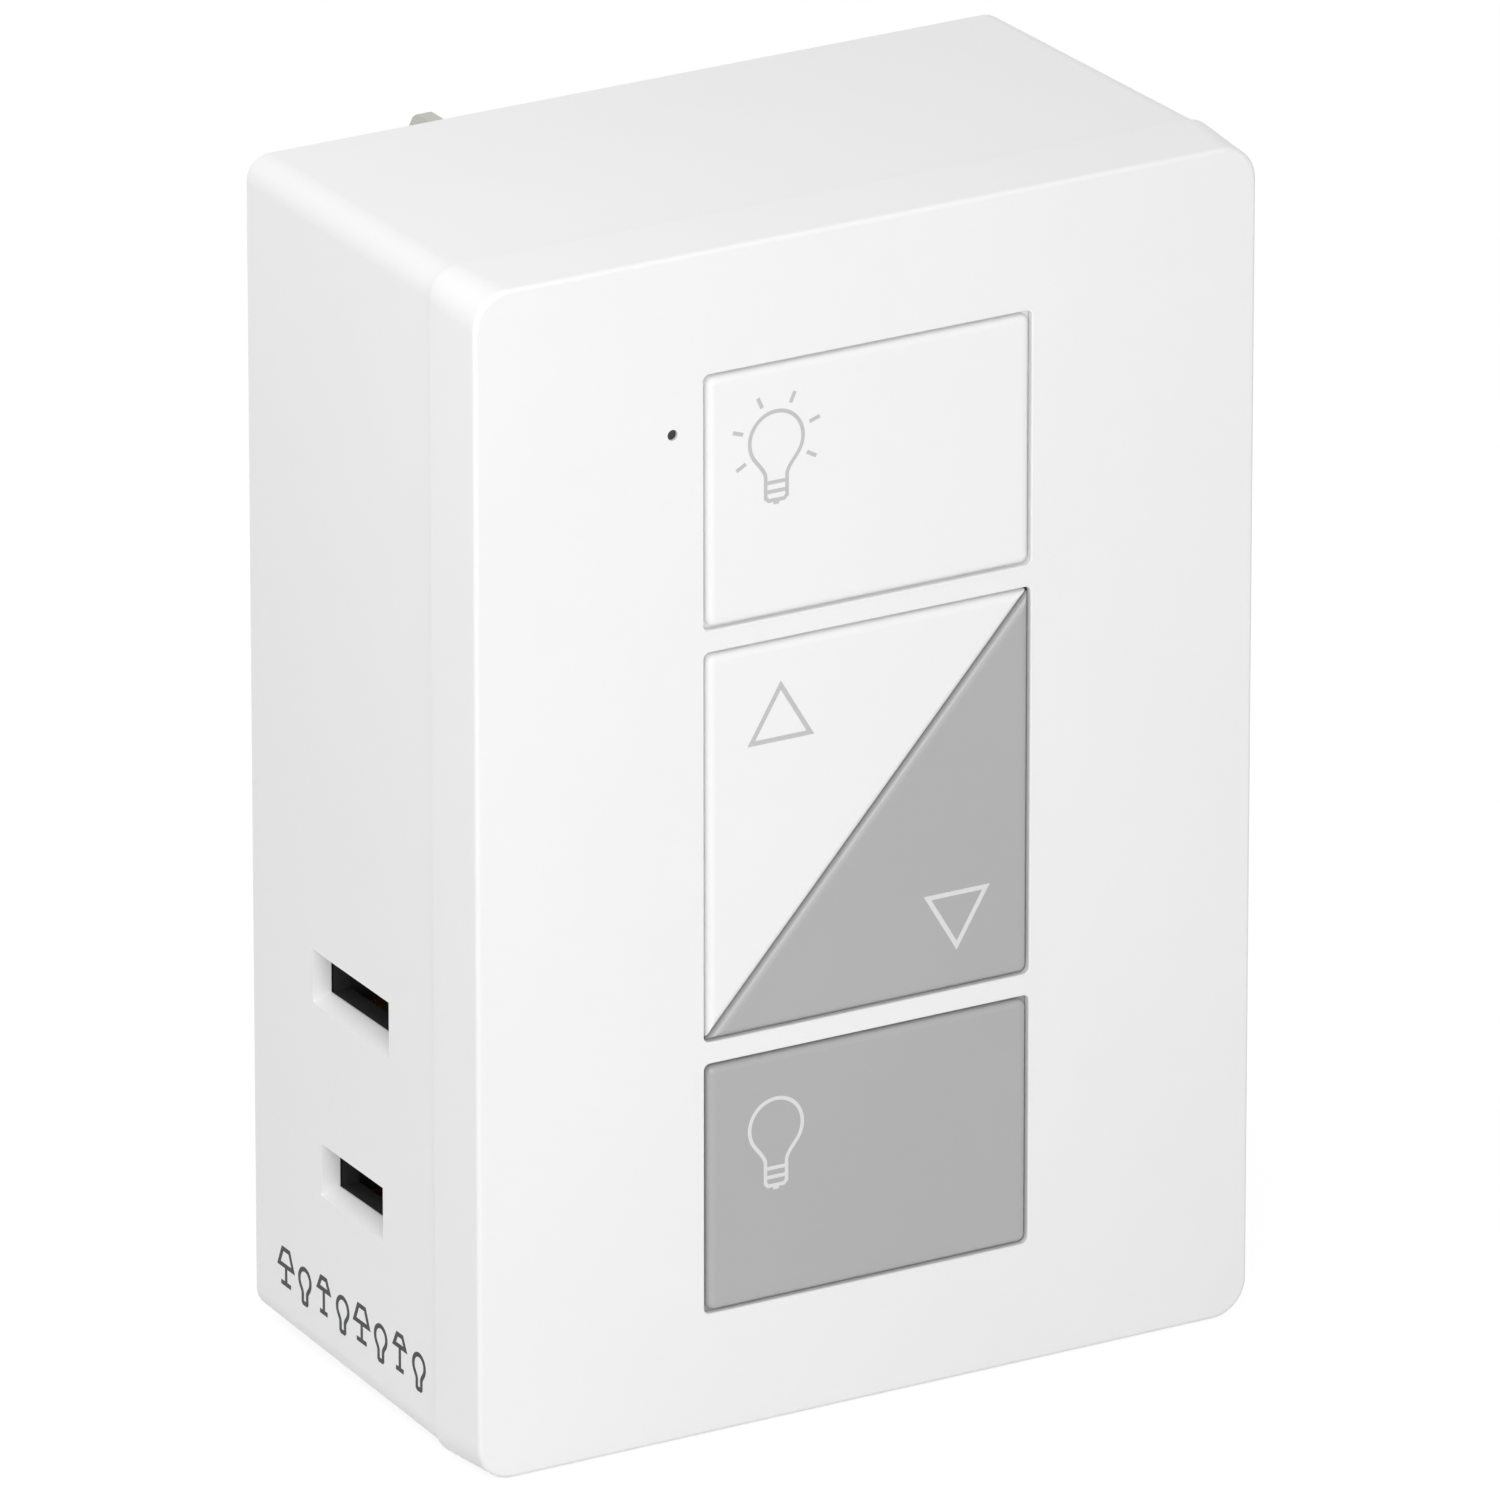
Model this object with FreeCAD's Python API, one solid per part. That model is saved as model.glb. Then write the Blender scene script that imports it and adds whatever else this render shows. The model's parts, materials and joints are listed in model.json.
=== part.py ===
"""Plug-in lamp dimmer with four buttons on its front and a receptacle on each side.

The white box hangs on a wall outlet by the two blades on its back. A table lamp plugs into the slots
on either side, and the four buttons switch and dim it: on, raise, lower and off.

Frame: millimetres, +Z up. The origin is in the middle of the wall face, half way between the two
blades. The front with the buttons looks along -Y, and the blades point along +Y into the outlet.
"""
import FreeCAD
import Part

import math
import os

from FreeCAD import Vector

# Outer body: widest at the seam between cover and housing, drafted towards the front and the back
rim_width = 55.2
rim_height = 78.25
body_depth = 30.0
cover_depth = 5.35
draft_angle = 1.2
front_corner_radius = 2.4
cover_seam_corner_radius = 1.95
housing_seam_corner_radius = 1.8
rear_corner_radius = 1.6
front_edge_radius = 0.3
rear_edge_radius = 0.3
seam_step = 0.17

# Walls, and the lip of the housing that stands inside the cover's rebate
cover_wall = 2.0
housing_wall = 2.0
rear_wall = 2.2
cover_skin = 1.0
lip_height = 1.6
lip_clearance = 0.1
smallest_radius = 0.4

# Button windows in the cover, whose wall is thinner around them
window_width = 23.1
end_window_height = 16.68
middle_window_height = 25.7
window_bar = 1.45
window_corner_radius = 0.4
window_edge_radius = 0.12
window_skin = 0.45
window_pocket_clearance = 0.15

# Buttons: hollow caps in the windows, with a flange behind the cover
button_gap = 0.2
diagonal_gap = 0.17
button_stand_out = 0.15
button_corner_radius = 0.55
button_edge_radius = 0.5
button_wall = 1.2
flange_overhang = 0.5
flange_clearance = 0.1
flange_thickness = 2.5
button_travel = 0.5
press_reserve = 0.1
stem_radius = 1.5
guide_pin_radius = 1.0
guide_pin_length = 2.0
guide_pin_clearance = 0.2
end_pin_spacing = 16.0
corner_pin_spacing = 16.0
corner_pin_from_diagonal = 4.0
corner_switch_from_diagonal = 5.6

# Guide frame and push switches between the buttons and the control board
frame_thickness = 1.0
frame_clearance = 0.8
frame_edge_margin = 1.5
switch_gap = 0.1
switch_height = 3.4
switch_size = 6.0
switch_corner_radius = 0.5
plunger_radius = 1.7
plunger_length = 1.7
plunger_clearance = 0.1
plunger_hole_clearance = 0.3
plunger_engagement = 0.9
plunger_end_gap = 0.2

# Status light: a pinhole in the cover with a smoked pipe and a small lamp behind it
status_left_of_window = 2.2
status_below_top = 11.585
pinhole_radius = 0.35
pipe_radius = 1.1
pipe_clearance = 0.1
pipe_collar_radius = 1.8
pipe_collar_thickness = 0.6
pinhole_skin = 1.0
pipe_tip_clearance = 0.02
pipe_tip_recess = 0.2
status_lamp_length = 1.6
status_lamp_width = 0.8
status_lamp_height = 0.8
status_lamp_gap = 0.2

# Control board, on four posts of the cover
control_board_thickness = 1.2
board_edge_clearance = 1.2
board_notch_clearance = 0.5
post_shoulder_radius = 2.5
post_neck_radius = 1.8
post_neck_clearance = 0.1
post_collar_radius = 3.0
post_from_notch = 3.1
post_from_edge = 3.4

# Case posts in the corners, with screws from the back
case_post_radius = 3.3
post_merge = 0.1
cover_boss_radius = 2.8
boss_behind_seam = 0.35
boss_gap = 0.25
counterbore_depth = 15.0
counterbore_clearance = 0.2
pilot_skin = 1.2
screw_tip_gap = 0.3
screw_hole_clearance = 0.1
thread_clearance = 0.02

# Screws: case and power board M2.5, control board M2
large_head_radius = 2.2
large_head_height = 1.6
large_shank_radius = 1.25
small_head_radius = 1.9
small_head_height = 1.2
small_shank_radius = 1.0
small_screw_engagement = 3.5
cross_width = 0.6
cross_depth = 0.7

# Plug blades on the back
blade_spacing = 12.7
blade_below_top = 10.15
blade_length = 15.9
blade_thickness = 1.5
neutral_blade_width = 7.94
line_blade_width = 6.35
blade_tip_length = 1.3
blade_tip_depth = 2.0
blade_edge_radius = 0.3
blade_hole_radius = 1.55
blade_hole_from_wall = 11.7
blade_slot_clearance = 0.1
blade_shoulder_overhang = 1.0
blade_shoulder_thickness = 1.2
blade_tab_width = 4.0
tab_clearance = 0.15
tab_stand_out = 1.0

# Side receptacles, the same on both sides
receptacle_above_bottom = 19.86
slot_spacing = 12.7
neutral_slot_length = 10.15
line_slot_length = 8.25
slot_height = 3.6
lead_in_depth = 1.26
lead_in_end_inset = 0.12
lead_in_side_inset = 0.5
slot_land = 0.1

# Contact holder in a pocket behind the slots, and the two contact bars in its channels
holder_clearance = 0.15
holder_end_wall = 1.2
holder_back_wall = 1.2
holder_rim = 1.9
holder_lid_thickness = 1.2
holder_lid_gap = 0.9
channel_margin = 0.3
channel_half_height = 2.6
holder_rib_spacing = 30.0
holder_rib_width = 1.6
contact_thickness = 0.5
contact_leaf_width = 7.0
contact_clearance = 0.2
contact_mouth_gap = 0.3
contact_pinch_from_mouth = 3.7
contact_pinch_opening = 1.1
blade_reach = 18.0
riser_width = 4.0
riser_from_centre = 4.0
riser_clearance = 0.3
line_riser_gap = 0.3
riser_above_board_edge = 2.35
riser_tip_stand_out = 0.4

# Power board, on standoffs of the back wall
power_board_thickness = 1.6
standoff_height = 2.0
standoff_radius = 2.5
standoff_inset = 3.3
power_board_above_holder = 2.2
power_board_edge_clearance = 1.0
top_standoff_from_notch = 3.8
top_standoff_below_edge = 3.9

# Parts on the power board, which stand in three columns
part_gap = 0.5
core_width = 13.0
core_length = 12.6
core_leg = 1.6
core_centre_leg = 4.4
core_depth = 5.0
bobbin_wall = 0.5
bobbin_clearance = 0.1
transformer_headroom = 4.3
capacitor_radius = 4.0
capacitor_headroom = 3.0
capacitor_edge_radius = 0.5
varistor_radius = 4.0
varistor_thickness = 3.6
varistor_leg_length = 2.0
film_capacitor_length = 13.0
film_capacitor_width = 6.0
film_capacitor_headroom = 5.0
fuse_length = 8.5
fuse_width = 4.0
fuse_height = 7.7
choke_core_radius = 4.8
choke_core_bore = 2.6
choke_core_height = 4.6
choke_winding_build = 0.7
choke_winding_angle = 300.0
heat_sink_length = 13.0
heat_sink_thickness = 1.5
heat_sink_headroom = 3.2
transistor_width = 10.0
transistor_thickness = 4.4
transistor_height = 7.5
transistor_leg_length = 2.4
transistor_leg_spacing = 2.54
lead_width = 0.8
lead_thickness = 0.5
rectifier_length = 8.0
rectifier_width = 3.4
rectifier_height = 6.5
connector_length = 10.0
connector_width = 5.0
part_edge_radius = 0.5

# Parts on the back of the control board
controller_size = 7.0
controller_height = 1.0
shield_length = 11.0
shield_width = 9.0
shield_height = 1.8
crystal_length = 3.2
crystal_width = 2.5
crystal_height = 0.8
antenna_length = 20.0
antenna_width = 2.4
antenna_thickness = 0.5
antenna_below_edge = 6.0

# Levels along the depth, from the front to the wall face at y = 0
cut_over = 1.0
same_place = 0.001
front_y = -body_depth
seam_y = front_y + cover_depth
inner_front_y = front_y + cover_wall
inner_rear_y = -rear_wall
cap_front_y = front_y - button_stand_out
window_back_y = front_y + window_skin
flange_front_y = window_back_y + flange_clearance
flange_back_y = flange_front_y + flange_thickness
frame_front_y = flange_back_y + button_travel + press_reserve
frame_back_y = frame_front_y + frame_thickness
switch_front_y = frame_back_y + switch_gap
control_front_y = switch_front_y + switch_height
control_back_y = control_front_y + control_board_thickness
plunger_front_y = flange_back_y + plunger_engagement
plunger_back_y = plunger_front_y + plunger_length
boss_end_y = seam_y - boss_behind_seam
screw_seat_y = -counterbore_depth
lid_front_y = control_back_y + holder_lid_gap
channel_front_y = lid_front_y + holder_lid_thickness
power_back_y = inner_rear_y - standoff_height
power_front_y = power_back_y - power_board_thickness

# Heights: the blades are at z = 0
top_z = blade_below_top
bottom_z = top_z - rim_height
body_z = (top_z + bottom_z) / 2
top_window_z = body_z + middle_window_height / 2 + window_bar + end_window_height / 2
bottom_window_z = 2 * body_z - top_window_z
receptacle_z = bottom_z + receptacle_above_bottom
neutral_slot_z = receptacle_z + slot_spacing / 2
line_slot_z = receptacle_z - slot_spacing / 2
taper = math.tan(math.radians(draft_angle))

# The channel is as deep as the longer slot, plus a margin on both sides
slot_inner_height = slot_height - 2 * lead_in_side_inset
channel_half_depth = neutral_slot_length / 2 - lead_in_end_inset + channel_margin
receptacle_y = channel_front_y + channel_half_depth
channel_back_y = receptacle_y + channel_half_depth
holder_back_y = channel_back_y + holder_back_wall


def cover_half(y):
    """Half width and half height of the cover's outside at depth y."""
    inset = (seam_y - y) * taper
    return rim_width / 2 - inset, rim_height / 2 - inset


def housing_half(y):
    """Half width and half height of the housing's outside at depth y."""
    inset = seam_step + (y - seam_y) * taper
    return rim_width / 2 - inset, rim_height / 2 - inset


def inset_by(half, amount):
    """The same half sizes, smaller by one amount all round."""
    return half[0] - amount, half[1] - amount


def inner_radius(outer_radius, wall):
    """Corner radius of a wall's inner side, which never gets sharper than the mould allows."""
    return max(outer_radius - wall, smallest_radius)


# Places that several pieces share
housing_inner_half = inset_by(housing_half(seam_y), housing_wall)
case_post_x = housing_inner_half[0] - case_post_radius + post_merge
case_post_z = housing_inner_half[1] - case_post_radius + post_merge
board_notch_x = case_post_x - case_post_radius - board_notch_clearance
board_notch_z = case_post_z - case_post_radius - board_notch_clearance
control_board_half = inset_by(housing_inner_half, board_edge_clearance)
board_post_x = board_notch_x - post_from_notch
board_post_z = housing_inner_half[1] - post_from_edge
large_pilot_radius = large_shank_radius + thread_clearance
small_pilot_radius = small_shank_radius + thread_clearance
case_pilot_end_y = front_y + pilot_skin
small_screw_tip_y = control_front_y - small_screw_engagement
status_x = -(window_width / 2 + status_left_of_window)
status_z = top_z - status_below_top
pocket_half_x = housing_half(receptacle_y)[0] - lead_in_depth - slot_land
holder_half_x = pocket_half_x - holder_clearance
holder_top_z = neutral_slot_z + channel_half_height + holder_rim
holder_bottom_z = line_slot_z - channel_half_height - holder_rim
power_low_z = holder_top_z + power_board_above_holder
power_inner_half = inset_by(housing_half(power_back_y), housing_wall)
power_high_z = body_z + power_inner_half[1] - power_board_edge_clearance
power_half_x = power_inner_half[0] - power_board_edge_clearance
riser_z = power_low_z + riser_above_board_edge
board_space = power_front_y - control_back_y

# The diagonal of the middle window, which parts the raise button from the lower button
diagonal_length = math.hypot(window_width, middle_window_height)
along = Vector(window_width / diagonal_length, 0, middle_window_height / diagonal_length)
across = Vector(-middle_window_height / diagonal_length, 0, window_width / diagonal_length)
middle = Vector(0, 0, body_z)


def corners_of(half_x, half_z, centre_z=0.0):
    """The four corners of a rectangle about the body's middle line, as (x, z) pairs."""
    return [(x, centre_z + z) for x in (-half_x, half_x) for z in (-half_z, half_z)]


case_post_places = corners_of(case_post_x, case_post_z, body_z)
board_post_places = corners_of(board_post_x, board_post_z, body_z)
lower_standoff_z = power_low_z + standoff_inset
upper_standoff_z = power_high_z - top_standoff_below_edge
lower_standoff_x = power_half_x - standoff_inset
upper_standoff_x = board_notch_x - top_standoff_from_notch
standoff_places = [
    (-lower_standoff_x, lower_standoff_z),
    (lower_standoff_x, lower_standoff_z),
    (-upper_standoff_x, upper_standoff_z),
    (upper_standoff_x, upper_standoff_z),
]


def on_button_place(distance_along, distance_across):
    """A place (x, z) given along and across the diagonal of the middle window."""
    place = middle + along * distance_along + across * distance_across
    return place.x, place.z


def pin_pair(centre, spacing):
    """Two places side by side, level with the centre."""
    return [(centre[0] - spacing / 2, centre[1]), (centre[0] + spacing / 2, centre[1])]


half_pin_spacing = corner_pin_spacing / 2
switch_places = {
    "on": (0.0, top_window_z),
    "raise": on_button_place(0, corner_switch_from_diagonal),
    "lower": on_button_place(0, -corner_switch_from_diagonal),
    "off": (0.0, bottom_window_z),
}
pin_places = {
    "on": pin_pair(switch_places["on"], end_pin_spacing),
    "raise": [on_button_place(side * half_pin_spacing, corner_pin_from_diagonal) for side in (-1, 1)],
    "lower": [on_button_place(side * half_pin_spacing, -corner_pin_from_diagonal) for side in (-1, 1)],
    "off": pin_pair(switch_places["off"], end_pin_spacing),
}


def spread(low, high, sizes):
    """Centres of parts of the given sizes, spread evenly between two edges."""
    gap = (high - low - sum(sizes)) / (len(sizes) + 1)
    centres = []
    edge = low
    for size in sizes:
        centres.append(edge + gap + size / 2)
        edge = edge + gap + size
    return centres


def save(name, shape):
    """Write one piece as parts/NAME.step."""
    shape.exportStep("parts/" + name + ".step")
    print(name, "solids", len(shape.Solids), "volume", round(shape.Volume, 1), shape.isValid())


def box(x0, x1, y0, y1, z0, z1):
    """A block between two corners."""
    return Part.makeBox(x1 - x0, y1 - y0, z1 - z0, Vector(x0, y0, z0))


def block_at(place, size_x, size_z, y0, y1):
    """A block centred on place (x, z), from depth y0 to y1."""
    x, z = place
    return box(x - size_x / 2, x + size_x / 2, y0, y1, z - size_z / 2, z + size_z / 2)


def rod(place, radius, y0, y1):
    """A round rod along Y at place (x, z), from depth y0 to y1."""
    return Part.makeCylinder(radius, y1 - y0, Vector(place[0], y0, place[1]), Vector(0, 1, 0))


def edges_along_y(shape):
    """The edges that run from front to back."""
    return [edge for edge in shape.Edges if edge.BoundBox.YLength > max(edge.BoundBox.XLength,
                                                                        edge.BoundBox.ZLength)]


def edges_at(shape, y):
    """The edges that lie in the plane at depth y."""
    return [edge for edge in shape.Edges
            if abs(edge.BoundBox.YMin - y) < same_place and abs(edge.BoundBox.YMax - y) < same_place]


def tapered_block(front_half, rear_half, y0, y1, front_radius, rear_radius):
    """A block about the body's middle whose size and corner radius change evenly from y0 to y1."""
    block = Part.makeWedge(
        -front_half[0], y0, body_z - front_half[1], body_z - rear_half[1], -rear_half[0],
        front_half[0], y1, body_z + front_half[1], body_z + rear_half[1], rear_half[0])
    return block.makeFillet(front_radius, rear_radius, edges_along_y(block))


def rounded_block(place, size_x, size_z, y0, y1, radius):
    """A block at place (x, z) whose edges along Y are rounded."""
    block = block_at(place, size_x, size_z, y0, y1)
    return block.makeFillet(radius, edges_along_y(block))


def cover_windows():
    """The three button windows, as solids to cut from the cover."""
    heights = [
        (top_window_z, end_window_height),
        (body_z, middle_window_height),
        (bottom_window_z, end_window_height),
    ]
    return [rounded_block((0, z), window_width, height, front_y - cut_over,
                          window_back_y + cut_over, window_corner_radius) for z, height in heights]


def window_pocket():
    """The one pocket behind the three windows, in which the flanges of the buttons move."""
    margin = flange_overhang + window_pocket_clearance
    height = top_window_z - bottom_window_z + end_window_height
    return block_at((0, body_z), window_width + 2 * margin, height + 2 * margin,
                    window_back_y, inner_front_y + cut_over)


def window_rims(shell):
    """The front edges of the windows, which reach no further out than the windows do."""
    return [edge for edge in edges_at(shell, front_y)
            if max(-edge.BoundBox.XMin, edge.BoundBox.XMax) < window_width / 2 + same_place]


def make_front_cover():
    """Front half of the case: windows and pocket, pinhole, corner bosses and control board posts."""
    outer = tapered_block(cover_half(front_y), cover_half(seam_y), front_y, seam_y,
                          front_corner_radius, cover_seam_corner_radius)
    outer = outer.makeFillet(front_edge_radius, edges_at(outer, front_y))
    beyond_y = seam_y + cut_over
    cavity = tapered_block(
        inset_by(cover_half(inner_front_y), cover_wall), inset_by(cover_half(beyond_y), cover_wall),
        inner_front_y, beyond_y, inner_radius(front_corner_radius, cover_wall),
        inner_radius(cover_seam_corner_radius, cover_wall))
    rebate_half = inset_by(cover_half(seam_y), cover_skin)
    rebate_radius = inner_radius(cover_seam_corner_radius, cover_skin)
    rebate = tapered_block(rebate_half, rebate_half, seam_y - lip_height - lip_clearance, beyond_y,
                           rebate_radius, rebate_radius)
    shell = outer.cut([cavity, rebate, window_pocket()] + cover_windows())
    shell = shell.makeFillet(window_edge_radius, window_rims(shell))
    into_wall_y = inner_front_y - cover_wall / 2
    bosses = [rod(place, cover_boss_radius, into_wall_y, boss_end_y) for place in case_post_places]
    shoulders = [rod(place, post_shoulder_radius, into_wall_y, frame_front_y) for place in board_post_places]
    necks = [rod(place, post_neck_radius, into_wall_y, control_front_y) for place in board_post_places]
    shell = shell.fuse(bosses + shoulders + necks)
    boss_pilots = [rod(place, large_pilot_radius, case_pilot_end_y, boss_end_y + cut_over)
                   for place in case_post_places]
    neck_pilots = [rod(place, small_pilot_radius, small_screw_tip_y - screw_tip_gap,
                       control_front_y + cut_over) for place in board_post_places]
    status_place = (status_x, status_z)
    pinhole = rod(status_place, pinhole_radius, front_y - cut_over, inner_front_y + cut_over)
    pipe_seat = rod(status_place, pipe_radius + pipe_clearance, front_y + pinhole_skin,
                    inner_front_y + cut_over)
    return shell.cut(boss_pilots + neck_pilots + [pinhole, pipe_seat]).removeSplitter()


def slot_cutter(side, z, length):
    """A receptacle slot to cut from one side wall: a flared mouth, then a straight slot inwards."""
    outer_x = housing_half(receptacle_y)[0]
    mouth_x = outer_x - lead_in_depth
    inner_length = length - 2 * lead_in_end_inset
    grow = (lead_in_depth + cut_over) / lead_in_depth
    half_length = inner_length / 2 + lead_in_end_inset * grow
    half_height = slot_inner_height / 2 + lead_in_side_inset * grow
    mouth = Part.makeWedge(
        -inner_length / 2, mouth_x, -slot_inner_height / 2, -half_height, -half_length,
        inner_length / 2, outer_x + cut_over, slot_inner_height / 2, half_height, half_length)
    straight = box(-inner_length / 2, inner_length / 2, mouth_x - housing_wall, mouth_x,
                   -slot_inner_height / 2, slot_inner_height / 2)
    cutter = mouth.fuse(straight)
    cutter.rotate(Vector(0, 0, 0), Vector(0, 0, 1), -90 * side)
    cutter.translate(Vector(0, receptacle_y, z))
    return cutter


def make_rear_housing():
    """Rear half of the case: lip, corner posts, standoffs, pocket and ribs of the holder, slots."""
    outer = tapered_block(housing_half(seam_y), housing_half(0), seam_y, 0,
                          housing_seam_corner_radius, rear_corner_radius)
    outer = outer.makeFillet(rear_edge_radius, edges_at(outer, 0))
    lip_half = inset_by(cover_half(seam_y), cover_skin + lip_clearance)
    lip_radius = inner_radius(cover_seam_corner_radius, cover_skin + lip_clearance)
    lip = tapered_block(lip_half, lip_half, seam_y - lip_height, seam_y, lip_radius, lip_radius)
    ahead_y = seam_y - lip_height - cut_over
    cavity = tapered_block(
        inset_by(housing_half(ahead_y), housing_wall), inset_by(housing_half(inner_rear_y), housing_wall),
        ahead_y, inner_rear_y, inner_radius(housing_seam_corner_radius, housing_wall),
        inner_radius(rear_corner_radius, housing_wall))
    holder_height = holder_top_z - holder_bottom_z
    pocket = box(-pocket_half_x, pocket_half_x, ahead_y, holder_back_y + holder_clearance,
                 holder_bottom_z - holder_clearance, holder_top_z + holder_clearance)
    shell = outer.fuse(lip).cut([cavity, pocket])
    into_wall_y = inner_rear_y + rear_wall / 2
    posts = [rod(place, case_post_radius, boss_end_y + boss_gap, into_wall_y) for place in case_post_places]
    standoffs = [rod(place, standoff_radius, power_back_y, into_wall_y) for place in standoff_places]
    rib_places = pin_pair((0, receptacle_z), holder_rib_spacing)
    ribs = [block_at(place, holder_rib_width, holder_height, holder_back_y, into_wall_y)
            for place in rib_places]
    shell = shell.fuse(posts + standoffs + ribs)
    counterbores = [rod(place, large_head_radius + counterbore_clearance, screw_seat_y, cut_over)
                    for place in case_post_places]
    screw_holes = [rod(place, large_shank_radius + screw_hole_clearance, seam_y - cut_over,
                       screw_seat_y + cut_over) for place in case_post_places]
    pilots = [rod(place, large_pilot_radius, power_back_y - cut_over, -pilot_skin)
              for place in standoff_places]
    blade_slots = [block_at((x, 0), blade_thickness + 2 * blade_slot_clearance,
                            width + 2 * blade_slot_clearance, inner_rear_y - cut_over, cut_over)
                   for x, width in blade_places()]
    side_slots = []
    for side in (-1, 1):
        side_slots.append(slot_cutter(side, neutral_slot_z, neutral_slot_length))
        side_slots.append(slot_cutter(side, line_slot_z, line_slot_length))
    return shell.cut(counterbores + screw_holes + pilots + blade_slots + side_slots).removeSplitter()


def screw(place, seat_y, tip_y, head_radius, head_height, shank_radius):
    """A screw whose head sits on a seat at seat_y, with its shank along -Y or +Y to tip_y."""
    back = math.copysign(1, seat_y - tip_y)
    head_end_y = seat_y + back * head_height
    head = rod(place, head_radius, min(seat_y, head_end_y), max(seat_y, head_end_y))
    shank = rod(place, shank_radius, min(seat_y, tip_y), max(seat_y, tip_y))
    cross_y = head_end_y - back * cross_depth
    arm = 2 * head_radius * cross_depth / head_height + cross_width
    near_y = min(cross_y, head_end_y + back * cut_over)
    far_y = max(cross_y, head_end_y + back * cut_over)
    cross = [block_at(place, size_x, size_z, near_y, far_y)
             for size_x, size_z in ((arm, cross_width), (cross_width, arm))]
    return head.fuse(shank).cut(cross)


def half_plane(side, from_diagonal, y0, y1):
    """All that lies on one side of the middle window's diagonal, past a distance from it."""
    far = 2 * diagonal_length
    near = middle + across * (side * from_diagonal)
    away = across * (side * far)
    start = near - along * far
    end = near + along * far
    corners = [start, end, end + away, start + away, start]
    face = Part.Face(Part.makePolygon([Vector(point.x, y0, point.z) for point in corners]))
    return face.extrude(Vector(0, y1 - y0, 0))


def square_corners(block):
    """The edges along Y of a button's block, but for the sharp tips beside the diagonal."""
    return [edge for edge in edges_along_y(block)
            if abs(across.dot(edge.CenterOfMass - middle)) > diagonal_gap]


def make_button(name):
    """One button: hollow cap, flange behind the cover, stem to the switch and two guide pins."""
    window_z, window_height, side = {
        "on": (top_window_z, end_window_height, 0),
        "raise": (body_z, middle_window_height, 1),
        "lower": (body_z, middle_window_height, -1),
        "off": (bottom_window_z, end_window_height, 0),
    }[name]
    behind_y = flange_back_y + cut_over
    cap_width = window_width - 2 * button_gap
    cap_height = window_height - 2 * button_gap
    cap = block_at((0, window_z), cap_width, cap_height, cap_front_y, flange_back_y)
    hollow = block_at((0, window_z), cap_width - 2 * button_wall, cap_height - 2 * button_wall,
                      cap_front_y + button_wall, behind_y)
    flange = block_at((0, window_z), window_width + 2 * flange_overhang,
                      window_height + 2 * flange_overhang, flange_front_y, flange_back_y)
    if side:
        keep = half_plane(side, diagonal_gap / 2, cap_front_y - cut_over, behind_y)
        cap = cap.common(keep)
        flange = flange.common(keep)
        hollow = hollow.common(half_plane(side, diagonal_gap / 2 + button_wall, cap_front_y, behind_y))
    cap = cap.makeFillet(button_corner_radius, square_corners(cap))
    cap = cap.makeFillet(button_edge_radius, edges_at(cap, cap_front_y))
    flange = flange.makeFillet(button_corner_radius, edges_along_y(flange))
    stem = rod(switch_places[name], stem_radius, flange_front_y, plunger_front_y)
    pins = [rod(place, guide_pin_radius, flange_front_y, flange_back_y + guide_pin_length)
            for place in pin_places[name]]
    return cap.fuse(flange).cut(hollow).fuse([stem] + pins).removeSplitter()


def make_guide_frame():
    """Plate that guides the button pins, held on the cover's posts by four collars."""
    half_x = case_post_x - cover_boss_radius - frame_clearance
    half_z = cover_half(inner_front_y)[1] - cover_wall - frame_edge_margin
    plate = rounded_block((0, body_z), 2 * half_x, 2 * half_z, frame_front_y, frame_back_y, part_edge_radius)
    collars = [rod(place, post_collar_radius, frame_front_y, control_front_y)
               for place in board_post_places]
    holes = [rod(place, post_neck_radius + post_neck_clearance, frame_front_y - cut_over,
                 control_front_y + cut_over) for place in board_post_places]
    behind_y = frame_back_y + cut_over
    plunger_hole_radius = max(plunger_radius, stem_radius) + plunger_hole_clearance
    for name in switch_places:
        holes.append(rod(switch_places[name], plunger_hole_radius, frame_front_y - cut_over, behind_y))
        for place in pin_places[name]:
            holes.append(rod(place, guide_pin_radius + guide_pin_clearance, frame_front_y - cut_over,
                             behind_y))
    holes.append(rod((status_x, status_z), pipe_radius + pipe_clearance, frame_front_y - cut_over, behind_y))
    return plate.fuse(collars).cut(holes).removeSplitter()


def make_switch_housing(name):
    """Body of one push switch, with the bore of its plunger."""
    place = switch_places[name]
    body = rounded_block(place, switch_size, switch_size, switch_front_y, control_front_y,
                         switch_corner_radius)
    bore_end_y = plunger_back_y + button_travel + plunger_end_gap
    bore = rod(place, plunger_radius + plunger_clearance, switch_front_y - cut_over, bore_end_y)
    return body.cut(bore)


def make_plunger(name):
    """Plunger of one push switch, which moves with its button."""
    return rod(switch_places[name], plunger_radius, plunger_front_y, plunger_back_y)


def make_light_pipe():
    """Smoked rod whose tip fills the pinhole, with a collar that sits on the guide frame."""
    place = (status_x, status_z)
    front = front_y + pinhole_skin + pipe_clearance
    end = control_front_y - status_lamp_height - status_lamp_gap
    tip = rod(place, pinhole_radius - pipe_tip_clearance, front_y + pipe_tip_recess, end)
    pipe = rod(place, pipe_radius, front, end)
    collar = rod(place, pipe_collar_radius, frame_back_y, frame_back_y + pipe_collar_thickness)
    return pipe.fuse([tip, collar]).removeSplitter()


def make_status_lamp():
    """Small lamp chip on the control board."""
    return block_at((status_x, status_z), status_lamp_length, status_lamp_width,
                    control_front_y - status_lamp_height, control_front_y)


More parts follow.
